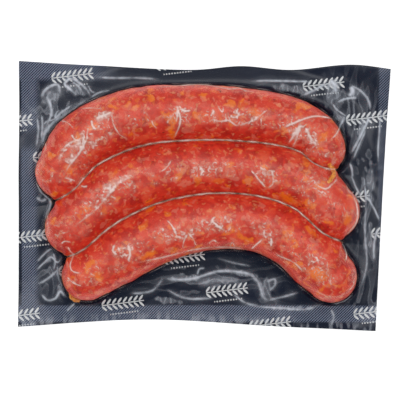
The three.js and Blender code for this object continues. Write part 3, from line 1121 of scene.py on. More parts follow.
# Creases of the film over the meat, from the back sausage to the front one
FILM_FOLDS = (
    Fold(((-66.6, 46.2), (-61.3, 46.8), (-53.2, 46.0)), 0.35, 0.7, 0.5),
    Fold(((-76.9, 40.3), (-73.1, 39.2), (-68.8, 35.5)), 0.4, 0.8, 0.6),
    Fold(((-70.4, 32.8), (-68.8, 30.1), (-65.6, 29.0)), 0.5, 0.9, 0.6),
    Fold(((-61.3, 38.2), (-62.3, 30.1), (-66.4, 22.3), (-71.5, 16.1), (-74.7, 10.2)), 0.5, 0.9, 0.55),
    Fold(((-48.9, 43.5), (-48.1, 38.2), (-45.1, 32.8), (-39.8, 29.6)), 0.35, 0.8, 0.45),
    Fold(((-84.9, 28.5), (-84.4, 24.2)), 0.4, 0.8, 0.5),
    Fold(((-59.7, 40.3), (-59.1, 37.1), (-57.0, 34.9)), 0.5, 0.8, 0.9),
    Fold(((-55.9, 41.9), (-52.1, 43.0), (-48.9, 44.6)), 0.4, 0.8, 0.7),
    Fold(((-74.2, 25.8), (-71.0, 27.9), (-68.3, 29.6)), 0.4, 0.8, 0.6),
    Fold(((-77.4, 16.1), (-75.8, 21.5), (-72.6, 25.3)), 0.3, 1.4, 0.3),
    Fold(((-14.8, 48.9), (-13.4, 44.1), (-12.6, 39.8), (-14.0, 34.9), (-16.7, 30.1)), 0.6, 0.8, 0.8),
    Fold(((-14.0, 48.4), (-14.2, 43.0), (-15.0, 38.7)), 0.5, 0.8, 0.7),
    Fold(((-12.4, 46.2), (-10.2, 45.1), (-7.0, 45.1)), 0.4, 0.8, 0.7),
    Fold(((-27.9, 40.3), (-26.9, 37.6), (-24.7, 35.5)), 0.4, 0.8, 0.6),
    Fold(((-20.4, 38.2), (-17.7, 40.9), (-15.6, 44.6)), 0.3, 0.8, 0.5),
    Fold(
        ((1.6, 38.7), (4.8, 40.3), (8.6, 39.5), (12.9, 40.0), (17.2, 37.4), (22.6, 38.7), (29.0, 41.4)),
        0.5, 0.9, 0.55,
    ),
    Fold(((7.5, 48.4), (8.1, 46.2), (9.7, 44.6), (10.2, 47.8)), 0.4, 0.7, 0.7),
    Fold(((3.2, 41.9), (4.8, 44.6), (4.3, 46.2)), 0.4, 0.8, 0.7),
    Fold(((18.3, 46.8), (17.2, 44.1), (19.3, 42.5)), 0.4, 0.8, 0.7),
    Fold(
        (
            (-26.3, 57.0), (-18.3, 58.6), (-12.9, 59.1), (0.5, 59.7), (5.9, 58.6),
            (12.9, 57.0), (19.3, 57.5), (22.6, 55.9), (29.0, 56.4),
        ),
        0.3, 0.7, 0.5,
    ),
    Fold(((40.3, 35.5), (47.8, 38.7), (55.4, 41.7), (60.2, 42.5), (67.2, 41.7), (71.5, 40.3)), 0.7, 0.9, 0.8),
    Fold(((44.6, 27.4), (48.4, 33.3), (51.1, 37.6)), 0.7, 1.1, 0.6),
    Fold(((51.1, 37.6), (49.4, 31.2), (47.3, 25.8)), 0.6, 1.0, 0.6),
    Fold(((76.3, 42.5), (72.6, 36.3), (69.9, 32.2), (66.9, 29.6)), 0.5, 0.8, 0.7),
    Fold(((53.8, 37.1), (56.4, 31.2), (60.2, 26.3)), 0.4, 1.2, 0.5),
    Fold(((24.7, 38.7), (29.6, 42.5), (34.4, 46.2)), 0.4, 0.8, 0.5),
    Fold(((-74.3, 9.7), (-70.4, 8.6), (-68.3, 7.7)), 0.4, 0.8, 0.7),
    Fold(((-65.8, 5.5), (-63.5, 4.9), (-61.8, 5.2)), 0.5, 0.8, 0.9),
    Fold(((-41.9, 10.8), (-49.4, 2.1), (-57.5, -7.5), (-64.5, -12.9), (-71.0, -17.7)), 0.4, 1.2, 0.35),
    Fold(((-82.8, 0.0), (-83.3, -6.4), (-84.4, -14.0)), 0.4, 0.8, 0.5),
    Fold(((-72.6, -26.9), (-71.0, -30.1), (-69.3, -31.2)), 0.4, 0.7, 0.7),
    Fold(((-76.3, -25.8), (-74.2, -24.2), (-70.4, -24.7)), 0.4, 0.7, 0.7),
    Fold(((24.7, 14.0), (29.0, 8.6), (33.3, 3.8)), 0.6, 0.9, 0.6),
    Fold(((33.3, 3.8), (36.5, 6.4), (36.0, 12.9)), 0.6, 0.9, 0.6),
    Fold(((-23.6, 12.4), (-19.9, 15.0), (-17.2, 19.3)), 0.4, 0.8, 0.6),
    Fold(((-2.7, 16.1), (-1.1, 12.9), (-2.1, 10.2)), 0.4, 0.8, 0.7),
    Fold(
        ((76.2, 7.7), (76.8, 3.2), (79.5, 0.3), (81.9, -7.7), (81.4, -14.0), (77.4, -19.3), (73.3, -22.6)),
        0.5, 0.8, 0.6,
    ),
    Fold(((59.7, 5.4), (64.5, 3.8), (68.3, 6.4), (72.0, 10.8)), 0.5, 0.9, 0.6),
    Fold(
        ((-69.3, -31.2), (-70.4, -33.3), (-71.5, -37.1), (-70.4, -39.8), (-67.5, -40.9), (-64.7, -40.9)),
        0.4, 0.7, 0.7,
    ),
    Fold(((-73.1, -43.0), (-71.0, -45.4), (-68.0, -47.1), (-64.7, -48.0)), 0.4, 0.7, 0.6),
    Fold(((-40.3, -25.6), (-39.2, -30.6), (-40.3, -34.7)), 0.5, 0.9, 0.9),
    Fold(((-47.3, -25.6), (-48.4, -29.0), (-46.2, -31.7)), 0.5, 0.9, 0.8),
    Fold(((6.4, -10.8), (4.3, -12.9), (7.5, -16.1), (11.3, -18.8)), 0.5, 0.8, 0.9),
    Fold(((-19.9, -12.6), (-17.2, -15.6), (-14.5, -20.4)), 0.5, 0.8, 0.8),
    Fold(((-8.6, -19.9), (-10.8, -24.2), (-11.3, -28.5)), 0.6, 0.9, 0.7),
    Fold(((-8.6, -19.9), (-5.9, -22.6), (-4.3, -26.9)), 0.5, 0.9, 0.6),
    Fold(((2.1, -25.8), (4.8, -23.6), (7.0, -24.7)), 0.5, 0.9, 0.6),
    Fold(((13.4, -28.5), (15.0, -24.7), (16.7, -27.9)), 0.5, 0.9, 0.6),
    Fold(
        (
            (-38.2, -36.0), (-29.0, -34.1), (-19.9, -32.2), (-9.7, -29.6), (0.5, -27.9),
            (12.9, -27.4), (25.3, -28.5),
        ),
        0.5, 1.1, 0.5,
    ),
    Fold(((24.7, -28.9), (27.9, -25.8), (31.0, -23.1)), 0.6, 0.9, 0.7),
    Fold(((32.1, -18.1), (31.7, -20.4), (33.3, -22.6)), 0.5, 0.8, 0.8),
    Fold(((35.3, -22.0), (35.7, -24.7), (35.3, -27.2)), 0.6, 0.8, 1.0),
    Fold(((36.5, -30.1), (41.9, -32.8), (47.8, -35.5), (53.2, -40.9)), 0.4, 1.0, 0.5),
    Fold(((73.3, -23.6), (75.6, -28.3), (76.2, -31.7), (75.0, -35.7)), 0.5, 0.7, 0.8),
    Fold(((57.5, -48.9), (63.4, -52.7), (71.5, -53.8), (78.5, -49.4), (81.2, -42.5)), 0.3, 0.8, 0.4),
)
# Creases of both sheets together, round the sausages
SHEET_FOLDS = (
    Fold(
        ((-88.8, 52.3), (-87.2, 56.7), (-83.9, 59.4), (-79.6, 60.5), (-78.5, 56.7), (-78.5, 53.4)),
        1.3, 1.5, 0.5,
    ),
    Fold(
        (
            (-69.2, 54.5), (-72.5, 57.8), (-75.8, 61.0), (-72.5, 63.8), (-68.7, 62.1),
            (-63.8, 57.8), (-61.0, 53.4),
        ),
        1.4, 1.4, 0.5,
    ),
    Fold(((-71.9, 62.1), (-69.2, 60.5), (-66.5, 57.2)), 0.8, 1.0, 0.4),
    Fold(((-85.6, 54.5), (-83.1, 48.0), (-83.1, 43.6), (-85.8, 37.6)), 1.2, 1.3, 0.5),
    Fold(((-78.5, 46.9), (-77.9, 43.9), (-80.7, 41.1), (-80.1, 45.2), (-78.5, 46.9)), 0.7, 0.8, 0.5),
    Fold(((-91.0, 43.6), (-89.9, 36.0), (-91.0, 26.2)), 1.0, 1.2, 0.4),
    Fold(((-88.3, 44.7), (-87.7, 38.2), (-88.3, 30.5)), 1.0, 1.1, 0.4),
    Fold(((-87.7, 37.1), (-85.6, 40.3), (-81.8, 41.4), (-76.8, 45.8), (-70.9, 49.6)), 0.9, 0.9, 0.5),
    Fold(((-59.4, 64.6), (-48.5, 64.0), (-36.0, 64.0), (-24.0, 63.2)), 0.9, 1.1, 0.4),
    Fold(((-63.2, 60.5), (-61.0, 56.7), (-58.9, 56.1)), 0.8, 1.0, 0.4),
    Fold(((-91.0, -0.5), (-88.3, -2.7), (-85.0, -1.6)), 1.0, 1.4, 0.5),
    Fold(((-91.0, -36.0), (-86.7, -31.6), (-82.8, -28.9), (-81.8, -30.0)), 1.1, 1.1, 0.5),
    Fold(((-91.6, -40.9), (-87.2, -36.5), (-82.8, -33.2), (-79.6, -36.0), (-77.4, -33.8)), 0.8, 0.9, 0.5),
    Fold(((-90.5, -48.0), (-86.1, -45.8), (-80.7, -41.4), (-77.9, -38.2)), 1.0, 1.2, 0.5),
    Fold(((-81.8, -30.5), (-80.7, -36.0), (-81.8, -40.9)), 0.9, 1.1, 0.4),
    Fold(((-88.8, -52.9), (-85.0, -56.7), (-80.7, -55.6), (-77.9, -51.8), (-75.2, -55.0)), 1.0, 1.2, 0.5),
    Fold(((-69.8, -57.8), (-72.5, -60.5), (-74.7, -62.7)), 0.8, 0.9, 0.6),
    Fold(((-40.3, -52.9), (-32.7, -52.6), (-27.8, -51.2), (-25.1, -48.5), (-22.3, -44.7)), 1.0, 1.3, 0.4),
    Fold(
        (
            (-22.3, -44.7), (-11.4, -45.5), (-4.9, -44.7), (0.0, -43.1), (8.4, -40.9),
            (19.9, -41.4), (25.6, -43.1), (30.5, -49.1),
        ),
        1.2, 1.4, 0.5,
    ),
    Fold(((-3.8, -48.0), (6.0, -46.3), (19.6, -45.8)), 1.2, 3.0, 0.3),
    Fold(((-3.8, -43.1), (-2.5, -39.8), (0.5, -39.2)), 0.7, 0.9, 0.5),
    Fold(((7.1, -33.8), (16.9, -36.5), (25.6, -38.2)), 0.6, 1.0, 0.3),
    Fold(((-20.7, -50.7), (-10.4, -55.6), (5.5, -55.6)), 0.8, 1.2, 0.4),
    Fold(((15.8, -53.4), (22.9, -58.3), (30.5, -60.0)), 0.8, 1.2, 0.4),
    Fold(((25.6, -43.6), (29.4, -46.9), (32.7, -55.6), (35.4, -56.7)), 1.1, 1.5, 0.5),
    Fold(((33.8, -46.9), (38.2, -45.2), (38.7, -48.0), (35.4, -51.8)), 0.9, 1.3, 0.5),
    Fold(((34.9, -56.7), (42.5, -55.0), (51.2, -52.3)), 0.9, 1.1, 0.4),
    Fold(((26.2, -60.0), (41.4, -61.0), (55.0, -61.6), (64.3, -58.3)), 0.8, 1.2, 0.4),
    Fold(((25.1, 62.1), (36.0, 62.5), (48.0, 62.3), (59.4, 62.1)), 0.9, 1.1, 0.5),
    Fold(((53.4, 54.5), (60.5, 57.8), (67.3, 61.9)), 1.2, 1.4, 0.5),
    Fold(((69.2, 63.8), (70.9, 60.0), (71.9, 56.1)), 1.4, 2.6, 0.5),
    Fold(((79.3, 60.5), (85.0, 57.2), (89.4, 51.8), (90.5, 46.3)), 1.2, 1.2, 0.5),
    Fold(((83.9, 53.4), (77.4, 52.9), (71.9, 50.7)), 1.1, 1.1, 0.5),
    Fold(((77.4, 43.1), (74.1, 45.2), (71.4, 47.4), (69.8, 50.1)), 0.9, 0.9, 0.5),
    Fold(((90.5, 43.6), (85.0, 32.7), (79.3, 22.3)), 1.2, 1.2, 0.5),
    Fold(((88.3, 36.5), (83.9, 27.3), (80.7, 19.6)), 0.9, 1.1, 0.4),
    Fold(((80.1, 60.0), (80.7, 56.7), (78.5, 54.0)), 1.2, 2.0, 0.5),
    Fold(((95.9, 48.5), (95.4, 37.1), (94.6, 25.1), (94.8, 16.9)), 0.9, 1.0, 0.4),
    Fold(((80.7, 9.8), (80.1, 14.2), (79.0, 18.0)), 0.9, 1.0, 0.6),
    Fold(
        ((86.7, 14.2), (87.7, -2.2), (87.2, -18.5), (88.3, -36.0), (86.1, -45.8), (83.9, -51.2)),
        0.8, 1.0, 0.4,
    ),
    Fold(((88.8, -0.5), (92.7, -7.6), (95.4, -13.6)), 0.9, 1.0, 0.5),
    Fold(((94.8, -16.4), (92.7, -24.0), (92.1, -36.0)), 0.8, 1.4, 0.4),
    Fold(((68.7, -61.0), (70.3, -65.4), (69.2, -70.3)), 0.8, 1.2, 0.4),
    Fold(
        (
            (-87.6, 27.5), (-85.8, 34.5), (-82.2, 39.3), (-77.4, 42.7), (-71.5, 46.6),
            (-66.5, 50.0), (-61.5, 53.2),
        ),
        0.4, 1.9, 0.42,
    ),
    Fold(((-61.5, 53.2), (-56.5, 56.2), (-51.0, 57.0)), 0.4, 1.0, 0.45),
    Fold(
        ((-90.6, 9.0), (-88.8, 3.0), (-85.2, -0.6), (-82.8, -3.9), (-84.8, -8.8), (-85.6, -15.0)),
        0.3, 0.9, 0.5,
    ),
    Fold(((-79.6, -37.0), (-79.2, -43.0), (-76.8, -49.0)), 0.3, 1.0, 0.4),
    Fold(((80.6, -52.0), (77.0, -56.0), (70.0, -58.5)), 0.3, 0.9, 0.3),
    Fold(((79.6, 12.0), (81.8, 6.0), (84.6, 0.0)), 0.3, 1.0, 0.45),
)
# Where the film over the meat lies loosest: a middle, its reaches along and across, and its turn in radians
LOOSE_PLACES = (
    ((-60, 30), (13, 8), 1.0),
    ((-54, 43), (9, 5), 0.5),
    ((-13, 42), (5, 9), -0.2),
    ((14, 41), (16, 4.5), 0.0),
    ((52, 34), (12, 9), -0.6),
    ((67, 17), (6, 5), 0.0),
    ((-52, 2), (20, 4), 0.65),
    ((-1, 14), (9, 5), 0.0),
    ((33, 11), (6, 6), 0.0),
    ((60, 6), (10, 7), -0.8),
    ((-43, -29), (7, 5), 0.5),
    ((-12, -19), (13, 6), 0.2),
    ((9, -15), (8, 7), 0.0),
    ((34, -22), (5, 7), 0.0),
    ((60, -38), (9, 6), -0.9),
)
# Where the film stands off the meat as a milky web or a pale streak, with painted highlights: a middle, its
# reaches and its turn
MILKY_AND_HIGHLIGHT_PLACES = (
    ((-53, 42), (6.5, 3.2), 0.4),
    ((-68, 25), (10, 3.0), 1.04),
    ((-47, 7.5), (15, 2.2), 0.42),
    ((49, 34), (5.5, 1.8), 1.05),
    ((69.5, 18.5), (3.2, 1.4), 1.2),
)
# Where broad reflections are painted on the bare film: a middle, its reaches and its turn
REFLECTION_PLACES = (
    ((-80, 46), (16, 16), 0.0),
    ((-86, 5), (4, 30), 0.0),
    ((-84, -38), (8, 16), 0.0),
    ((0, -46), (30, 8), 0.0),
    ((36, -50), (8, 9), 0.0),
    ((78, 44), (16, 18), 0.0),
    ((88, 0), (6, 45), 0.0),
    ((88, -55), (8, 12), 0.0),
    ((45, 56), (16, 5), -0.2),
)
# Smaller places of the bare film where the painted reflections are boldest
BOLD_REFLECTION_PATCHES = (
    ((70, 56), (4.5, 9), 0.15),
    ((81.5, 57), (2.6, 4), 0.3),
    ((74, 42), (3.5, 3), 0.0),
    ((86, 37.5), (2.6, 6.5), -0.4),
    ((48, 58), (11, 2.6), -0.1),
    ((90.5, 8), (2.4, 12), 0.0),
    ((90, -22), (1.8, 8), 0.0),
    ((-87, 11), (3, 4.5), 0.0),
    ((-87.5, -21), (3.2, 5), 0.0),
    ((-86.5, 30), (2.4, 8), 0.0),
    ((-83, 53), (4, 5), -0.6),
    ((-70, 58), (7, 3.2), -0.5),
    ((-84, -33), (2.4, 5), -0.6),
    ((-78, -50), (3, 3.5), -0.4),
    ((-11, -44.5), (14, 2.2), 0.0),
    ((22, -42.5), (9, 2.0), -0.1),
    ((34.5, -50), (3.4, 5.5), 0.2),
    ((46, -61), (13, 1.5), 0.0),
    ((-20, -57), (9, 1.8), -0.1),
)
# Where the backing buckles: the middles, and how far they reach along and across the pack
BUCKLE_MIDDLES = ((-80, 48), (-84, -38), (82, 40), (30, -52), (88, 5), (88, -55))
BUCKLE_REACH = (26, 24)
# Where the film over the backing lies calm and dark
CALM_PLACES = (
    ((22, 64), (60, 9), 0.0),
    ((22, -36), (38, 9), 0.0),
)
# The height given to places that no meat reaches
NOWHERE = -10.0
# How thick the backing is, in millimetres
BACKING_MM = 0.6


@dataclass
class Nearness:
    """How the points of a grid lie to the sausages.

    A share is the distance from a spine over the radius there. The shares are kept by sausage, and again in
    order from the nearest one on. The lean is how far towards the pack's back edge a point lies from the
    nearest spine, over its radius.
    """

    x: np.ndarray
    y: np.ndarray
    distances: np.ndarray = field(init=False, repr=False)
    radii: np.ndarray = field(init=False, repr=False)
    shares: np.ndarray = field(init=False, repr=False)
    ordered: np.ndarray = field(init=False, repr=False)
    nearest: np.ndarray = field(init=False, repr=False)
    lean: np.ndarray = field(init=False, repr=False)

    def __post_init__(self) -> None:
        """Measures the points against every spine."""
        measured = zip(*(spine.measure(self.x, self.y) for spine in SPINES.values()))
        self.distances, self.radii, _, near_y = (np.array(part) for part in measured)
        self.shares = self.distances / self.radii
        order = np.argsort(self.shares, axis=0)
        self.ordered = np.sort(self.shares, axis=0)
        self.nearest = order[0]
        leans = (self.y - near_y) / self.radii
        self.lean = np.take_along_axis(leans, order[:1], axis=0)[0]


@dataclass
class PackSurface:
    """The pack over a fine square grid: the heights of the backing's underside and of the film, how pale the
    film is with its painted highlights and reflections, and where it lies over meat."""

    step: float = 0.25
    half_x: float = 103.0
    half_y: float = 75.5
    # How high the backing is drawn up beside the meat, and how far from a spine that begins, is full and ends
    skirt_height: float = 4.2
    skirt_start: float = 10.5
    skirt_top: float = 16.5
    skirt_foot: float = 30.0
    # How high the backing's rim waves, how much its four corners curl up, and how far from a corner
    rim_wave: float = 1.1
    corner_lifts: tuple[float, ...] = (2.2, 2.6, 3.6, 5.2)
    corner_reach: float = 26.0
    # How far the film lies over the meat and the backing, and how tight a bend and wide a hollow it spans
    meat_lift: float = 0.35
    backing_lift: float = 0.25
    film_bend: float = 1.1
    film_flat: float = 0.3
    film_span: float = 5.0
    tail_radius: float = 1.45
    # How much wider than its reach a fold is, how much wider again its pale body is, and its height's share
    fold_spread: float = 1.6
    fold_body: float = 1.9
    fold_scale: float = 0.55
    # The web of film in the seam between two sausages: its half width, and its haze, a painted highlight line
    web_width: float = 0.42
    web_haze_and_highlight: float = 0.68
    # How much paler the folds of both sheets are than they say, with their painted highlights, and the most
    # that the film's haze and painted light hide
    sheet_fold_haze_and_highlight: float = 1.3
    most_haze_and_light: float = 0.8
    x: np.ndarray = field(init=False, repr=False)
    y: np.ndarray = field(init=False, repr=False)
    backing: np.ndarray = field(init=False, repr=False)
    film: np.ndarray = field(init=False, repr=False)
    haze_and_painted_light: np.ndarray = field(init=False, repr=False)
    warm: np.ndarray = field(init=False, repr=False)

    def __post_init__(self) -> None:
        """Works out both heights, the haze with its painted highlights and reflections, and where the film
        lies over meat.
        """
        self.x = np.arange(-self.half_x, self.half_x + self.step, self.step)
        self.y = np.arange(-self.half_y, self.half_y + self.step, self.step)
        near = Nearness(*np.meshgrid(self.x, self.y, indexing="ij"))
        bare = smoothstep(near.ordered[0], 1.02, 1.2)
        on_meat = 1 - smoothstep(near.ordered[0], 0.9, 1.02)
        between = 1 - smoothstep(near.ordered[1], 1.2, 1.3)
        loose = self.bells(near, LOOSE_PLACES)
        crease, crease_haze_and_highlight = self.creases(near, SHEET_FOLDS)
        fold, fold_haze_and_highlight = self.creases(near, FILM_FOLDS)
        wrinkle, wrinkle_haze_and_glints = self.wrinkles(near, loose)

        self.backing = np.maximum(self.backing_height(near) + self.buckles(near) * bare, 0)
        under = np.maximum(self.over_meat(near), self.backing + BACKING_MM + self.backing_lift)
        self.film = self.close(under) + fold + crease * bare + wrinkle * on_meat
        self.warm = np.maximum(1 - smoothstep(near.ordered[0], 1.0, 1.12), between)

        # Pale lines of whitened and standing-off film, with painted highlights and glints along the folds,
        # the wrinkles, the seams and the outline
        lines_and_highlights = wrinkle_haze_and_glints * on_meat + fold_haze_and_highlight + self.webs_and_highlights(near) * between + self.edge_lines_and_highlights(near)
        lines_and_highlights = lines_and_highlights + crease_haze_and_highlight * smoothstep(near.ordered[0], 0.99, 1.05) * self.sheet_fold_haze_and_highlight
        # Veils: painted reflections over the meat, and over the backing a faint real murk with painted
        # reflections
        veil_and_reflection = self.veil_and_reflection_on_meat(near, loose) * on_meat + self.murk_and_reflections_on_backing(near) * bare
        self.haze_and_painted_light = np.clip(veil_and_reflection + lines_and_highlights, 0, self.most_haze_and_light)

    def over_meat(self, near: Nearness) -> np.ndarray:
        """The height of film that lies on a sausage or a tail, and NOWHERE beside them.

        Over a sausage it is a dome: the spine's height, and the root of the skin's radius squared less the
        distance squared, after the distance is divided by 1 and the swell.

        Args:
            near: how the grid's points lie to the sausages.

        Returns:
            The height over the grid.
        """
        meat = np.full(near.x.shape, NOWHERE)
        lumps = meat_lumps(near.x, near.y)
        for i, (distance, radius) in enumerate(zip(near.distances, near.radii)):
            other = np.min(np.delete(near.shares, i, axis=0), axis=0)
            wide = distance / (1 + swell(near.shares[i], other))
            skin = radius + self.meat_lift + lumps
            dome = FLOOR_MM + FLAT_BELOW * radius + np.sqrt(np.clip(skin**2 - wide**2, 0, None))
            meat = np.where(wide < skin, np.maximum(meat, dome), meat)
        for tail in TAILS.values():
            meat = np.maximum(meat, self.over_tail(near, tail))
        return meat

    def over_tail(self, near: Nearness, path: Points) -> np.ndarray:
        """The height of film over a casing tail: the tail's own height there and a round section on top.

        Args:
            near: how the grid's points lie to the sausages.
            path: the tail's middle line.

        Returns:
            The height over the grid.
        """
        line = resample(smooth_line(path), 24)
        distance, share, *_ = nearest_on(line[:, :2], near.x, near.y)
        along = np.concatenate([[0], np.cumsum(np.linalg.norm(np.diff(line[:, :2], axis=0), axis=1))])
        height = np.interp(share, along / along[-1], line[:, 2])
        skin = self.tail_radius + self.meat_lift
        return np.where(distance < skin, height + np.sqrt(np.clip(skin**2 - distance**2, 0, None)), NOWHERE)

    def webs_and_highlights(self, near: Nearness) -> np.ndarray:
        """The haze of the webs in the seams, a painted highlight line: exp(-(d / width)^2) of the distance d
        from the nearer seam.

        Noise makes the seam waver and the web thick and thin, and the web ends at the sausages' outline.

        Args:
            near: how the grid's points lie to the sausages.

        Returns:
            The haze over the grid.
        """
        x, y, shares = near.x, near.y, near.shares
        wobble = 0.25 * gradient_noise(x / 5.0, y / 5.0, 34)
        seam = np.minimum(*(np.abs((shares[i] - shares[i + 1]) * MEAN_RADIUS / 2 + wobble) for i in (0, 1)))
        thick = np.clip(0.75 + 0.6 * gradient_noise(x / 4.0, y / 4.0, 35), 0.2, 1)
        ending = 1 - smoothstep(near.ordered[0], 1.0, 1.08)
        return np.exp(-((seam / self.web_width) ** 2)) * thick * ending * self.web_haze_and_highlight

    def edge_lines_and_highlights(self, near: Nearness) -> np.ndarray:
        """The haze of two thin lines, just inside and outside the sausages' outline, partly film that stands
        off and partly painted highlights: bells of the share.

        Noise makes them patchy, and they stop where another sausage is near.

        Args:
            near: how the grid's points lie to the sausages.

        Returns:
            The haze over the grid.
        """
        patchy = np.clip(0.5 + gradient_noise(near.x / 7.0, near.y / 7.0, 36), 0, 1)
        inner = np.exp(-(((near.ordered[0] - 0.965) / 0.022) ** 2))
        # The inner line is painted fainter towards each sausage's back side
        inner = inner * (1 - smoothstep(near.lean, -0.2, 0.4) * 0.4)
        outer = np.exp(-(((near.ordered[0] - 1.06) / 0.022) ** 2))
        return (inner * 0.28 + outer * 0.34) * patchy**1.5 * smoothstep(near.ordered[1], 1.3, 1.5)

    def veil_and_reflection_on_meat(self, near: Nearness, loose: np.ndarray) -> np.ndarray:
        """The haze of loose film over the meat, with a painted reflection of the lamps.

        It is a faint cloudy veil, a painted reflection, that begins raggedly in front of each sausage's
        middle and clears behind it, more so where the film isn't loose, and the milky places, partly painted
        highlights, whose edges noise breaks up.

        Args:
            near: how the grid's points lie to the sausages.
            loose: how loose the film is, from 0 to 1.

        Returns:
            The haze over the grid.
        """
        x, y, lean = near.x, near.y, near.lean
        ragged = gradient_noise(x / 5.5, y / 4.0, 31) * 0.10 + gradient_noise(x / 2.2, y / 2.2, 32) * 0.05
        # The veil paints the lamps' reflection over the middle of each sausage, and leaves its front side
        # deep red
        begun = smoothstep(lean + ragged, -0.44, -0.38)
        cloudy = np.clip(0.5 + 0.5 * gradient_noise(x / 6.0, y / 6.0, 33), 0, 1)
        clearing = np.where(near.nearest == 0, 0.5, 0.97)
        kept = 1 - clearing * smoothstep(lean, 0.1, 0.45) * (1 - loose)
        milky_and_highlight = self.bells(near, MILKY_AND_HIGHLIGHT_PLACES) + 0.4 * gradient_noise(x / 3.5, y / 3.5, 38)
        veil_and_reflection = begun * kept * (0.01 + 0.05 * cloudy + 0.06 * loose)
        return veil_and_reflection + 0.24 * smoothstep(milky_and_highlight, 0.35, 0.85)

    def murk_and_reflections_on_backing(self, near: Nearness) -> np.ndarray:
        """The haze of film over the backing: a faint murk, less in the calm places, and the broad painted
        reflections.
        """
        murky = 0.6 + 0.4 * smoothstep(gradient_noise(near.x / 20, near.y / 20, 37), -0.3, 0.3)
        return 0.007 * murky * (1 - self.bells(near, CALM_PLACES)) + 0.22 * self.painted_reflections(near)

    def creases(self, near: Nearness, folds: tuple[Fold, ...]) -> tuple[np.ndarray, np.ndarray]:
        """The height and the haze of a set of folds, whose haze paints a highlight along each crest.

        A fold is round: its height is 1 less the squared share of its half width, to the power 1.5. Its haze
        is a narrow core, the square of 1 less 1.4 times that share, over a faint wider body. Its ends fade
        out over a fifth of its length, and noise makes it uneven.

        Args:
            near: how the grid's points lie to the sausages.
            folds: the folds of the film, or of both sheets.

        Returns:
            Two arrays over the grid.
        """
        x, y = near.x, near.y
        height, haze_and_painted_light = np.zeros(x.shape), np.zeros(x.shape)
        uneven = 0.85 + 0.3 * gradient_noise(x / 2.4, y / 2.4, 41) + 0.4 * gradient_noise(x / 7, y / 7, 42)
        uneven = np.clip(uneven, 0.25, 1.5)
        for fold in folds:
            line = smooth_line(fold.path, 5)
            margin = fold.reach * self.fold_spread * self.fold_body
            low, high = line.min(axis=0) - margin, line.max(axis=0) + margin
            i = slice(*np.searchsorted(self.x, (low[0], high[0])))
            j = slice(*np.searchsorted(self.y, (low[1], high[1])))
            distance, share, *_ = nearest_on(line, x[i, j], y[i, j])
            ends = smoothstep(share, -0.03, 0.2) * (1 - smoothstep(share, 0.8, 1.03))
            out = distance / (fold.reach * self.fold_spread)
            whole = ends * uneven[i, j]
            crest = np.clip(1 - out**2, 0, 1) ** 1.5 * whole * fold.height * self.fold_scale
            pale = 1.1 * np.clip(1 - 1.4 * out, 0, 1) ** 2 + 0.1 * np.clip(1 - out / self.fold_body, 0, 1)
            height[i, j] = np.maximum(height[i, j], crest)
            haze_and_painted_light[i, j] = np.maximum(haze_and_painted_light[i, j], pale * whole * fold.haze_and_painted_light)
        return height, haze_and_painted_light

    def buckles(self, near: Nearness) -> np.ndarray:
        """Soft buckles of the backing: warped noise, within bells round the middles where it buckles.

        Args:
            near: how the grid's points lie to the sausages.

        Returns:
            The height over the grid.
        """
        x, y = near.x, near.y
        reach_x, reach_y = BUCKLE_REACH
        bells = [
            np.exp(-(((x - middle_x) / reach_x) ** 2) - ((y - middle_y) / reach_y) ** 2)
            for middle_x, middle_y in BUCKLE_MIDDLES
        ]
        turn = gradient_noise(x / 20, y / 20, 51) * 0.8
        broad = gradient_noise(x / 9 + turn, y / 15 + turn, 52)
        return np.clip(sum(bells), 0, 1) * (0.9 * broad + 0.4)

    def painted_reflections(self, near: Nearness) -> np.ndarray:
        """Broad pale reflections of buckled film, painted as haze, from 0 up.

        They are the highest of three painted reflections: warped noise drawn out along the nearest edge and
        brightest at its hard rims, crinkles along the front edge, and bold patches that ridged noise streaks.

        Args:
            near: how the grid's points lie to the sausages.

        Returns:
            The painted reflections' strength over the grid.
        """
        x, y = near.x, near.y
        turn = gradient_noise(x / 16, y / 16, 53) * 0.9
        upright = gradient_noise(x / 3.6 + turn, y / 10 + turn, 54)
        level = gradient_noise(x / 12 + turn, y / 4.0 + turn, 55)
        side = smoothstep(np.abs(x), 55, 72)
        noise = level * (1 - side) + upright * side
        lit = smoothstep(noise, 0.08, 0.13) * (1 - 0.65 * smoothstep(noise, 0.13, 0.45))
        inward = y - np.interp(x, *zip(*FRONT_EDGE))
        rim = (1 - smoothstep(inward, 1.0, 6.5)) * smoothstep(gradient_noise(x / 2.6, y / 9, 56), 0.0, 0.3)
        bold = self.bells(near, BOLD_REFLECTION_PATCHES) + 0.4 * gradient_noise(x / 3.0 + turn, y / 4.5, 57)
        bold = smoothstep(bold, 0.35, 0.7) * (0.45 + 0.75 * ridged(x / 2.4 + turn, y / 7.0, 58))
        return np.maximum.reduce([lit * self.bells(near, REFLECTION_PLACES), rim, bold * 1.3])

    def bells(self, near: Nearness, places: Places) -> np.ndarray:
        """The highest of exp(-a^2 - b^2) over all places, where a and b are distances over the reaches.

        Args:
            near: how the grid's points lie to the sausages.
            places: where the bells stand.

        Returns:
            A number from 0 to 1 over the grid.
        """
        total = np.zeros(near.x.shape)
        for (centre_x, centre_y), (reach_x, reach_y), turn in places:
            cos, sin = math.cos(turn), math.sin(turn)
            along = ((near.x - centre_x) * cos + (near.y - centre_y) * sin) / reach_x
            across = ((near.y - centre_y) * cos - (near.x - centre_x) * sin) / reach_y
            total = np.maximum(total, np.exp(-(along**2) - across**2))
        return total

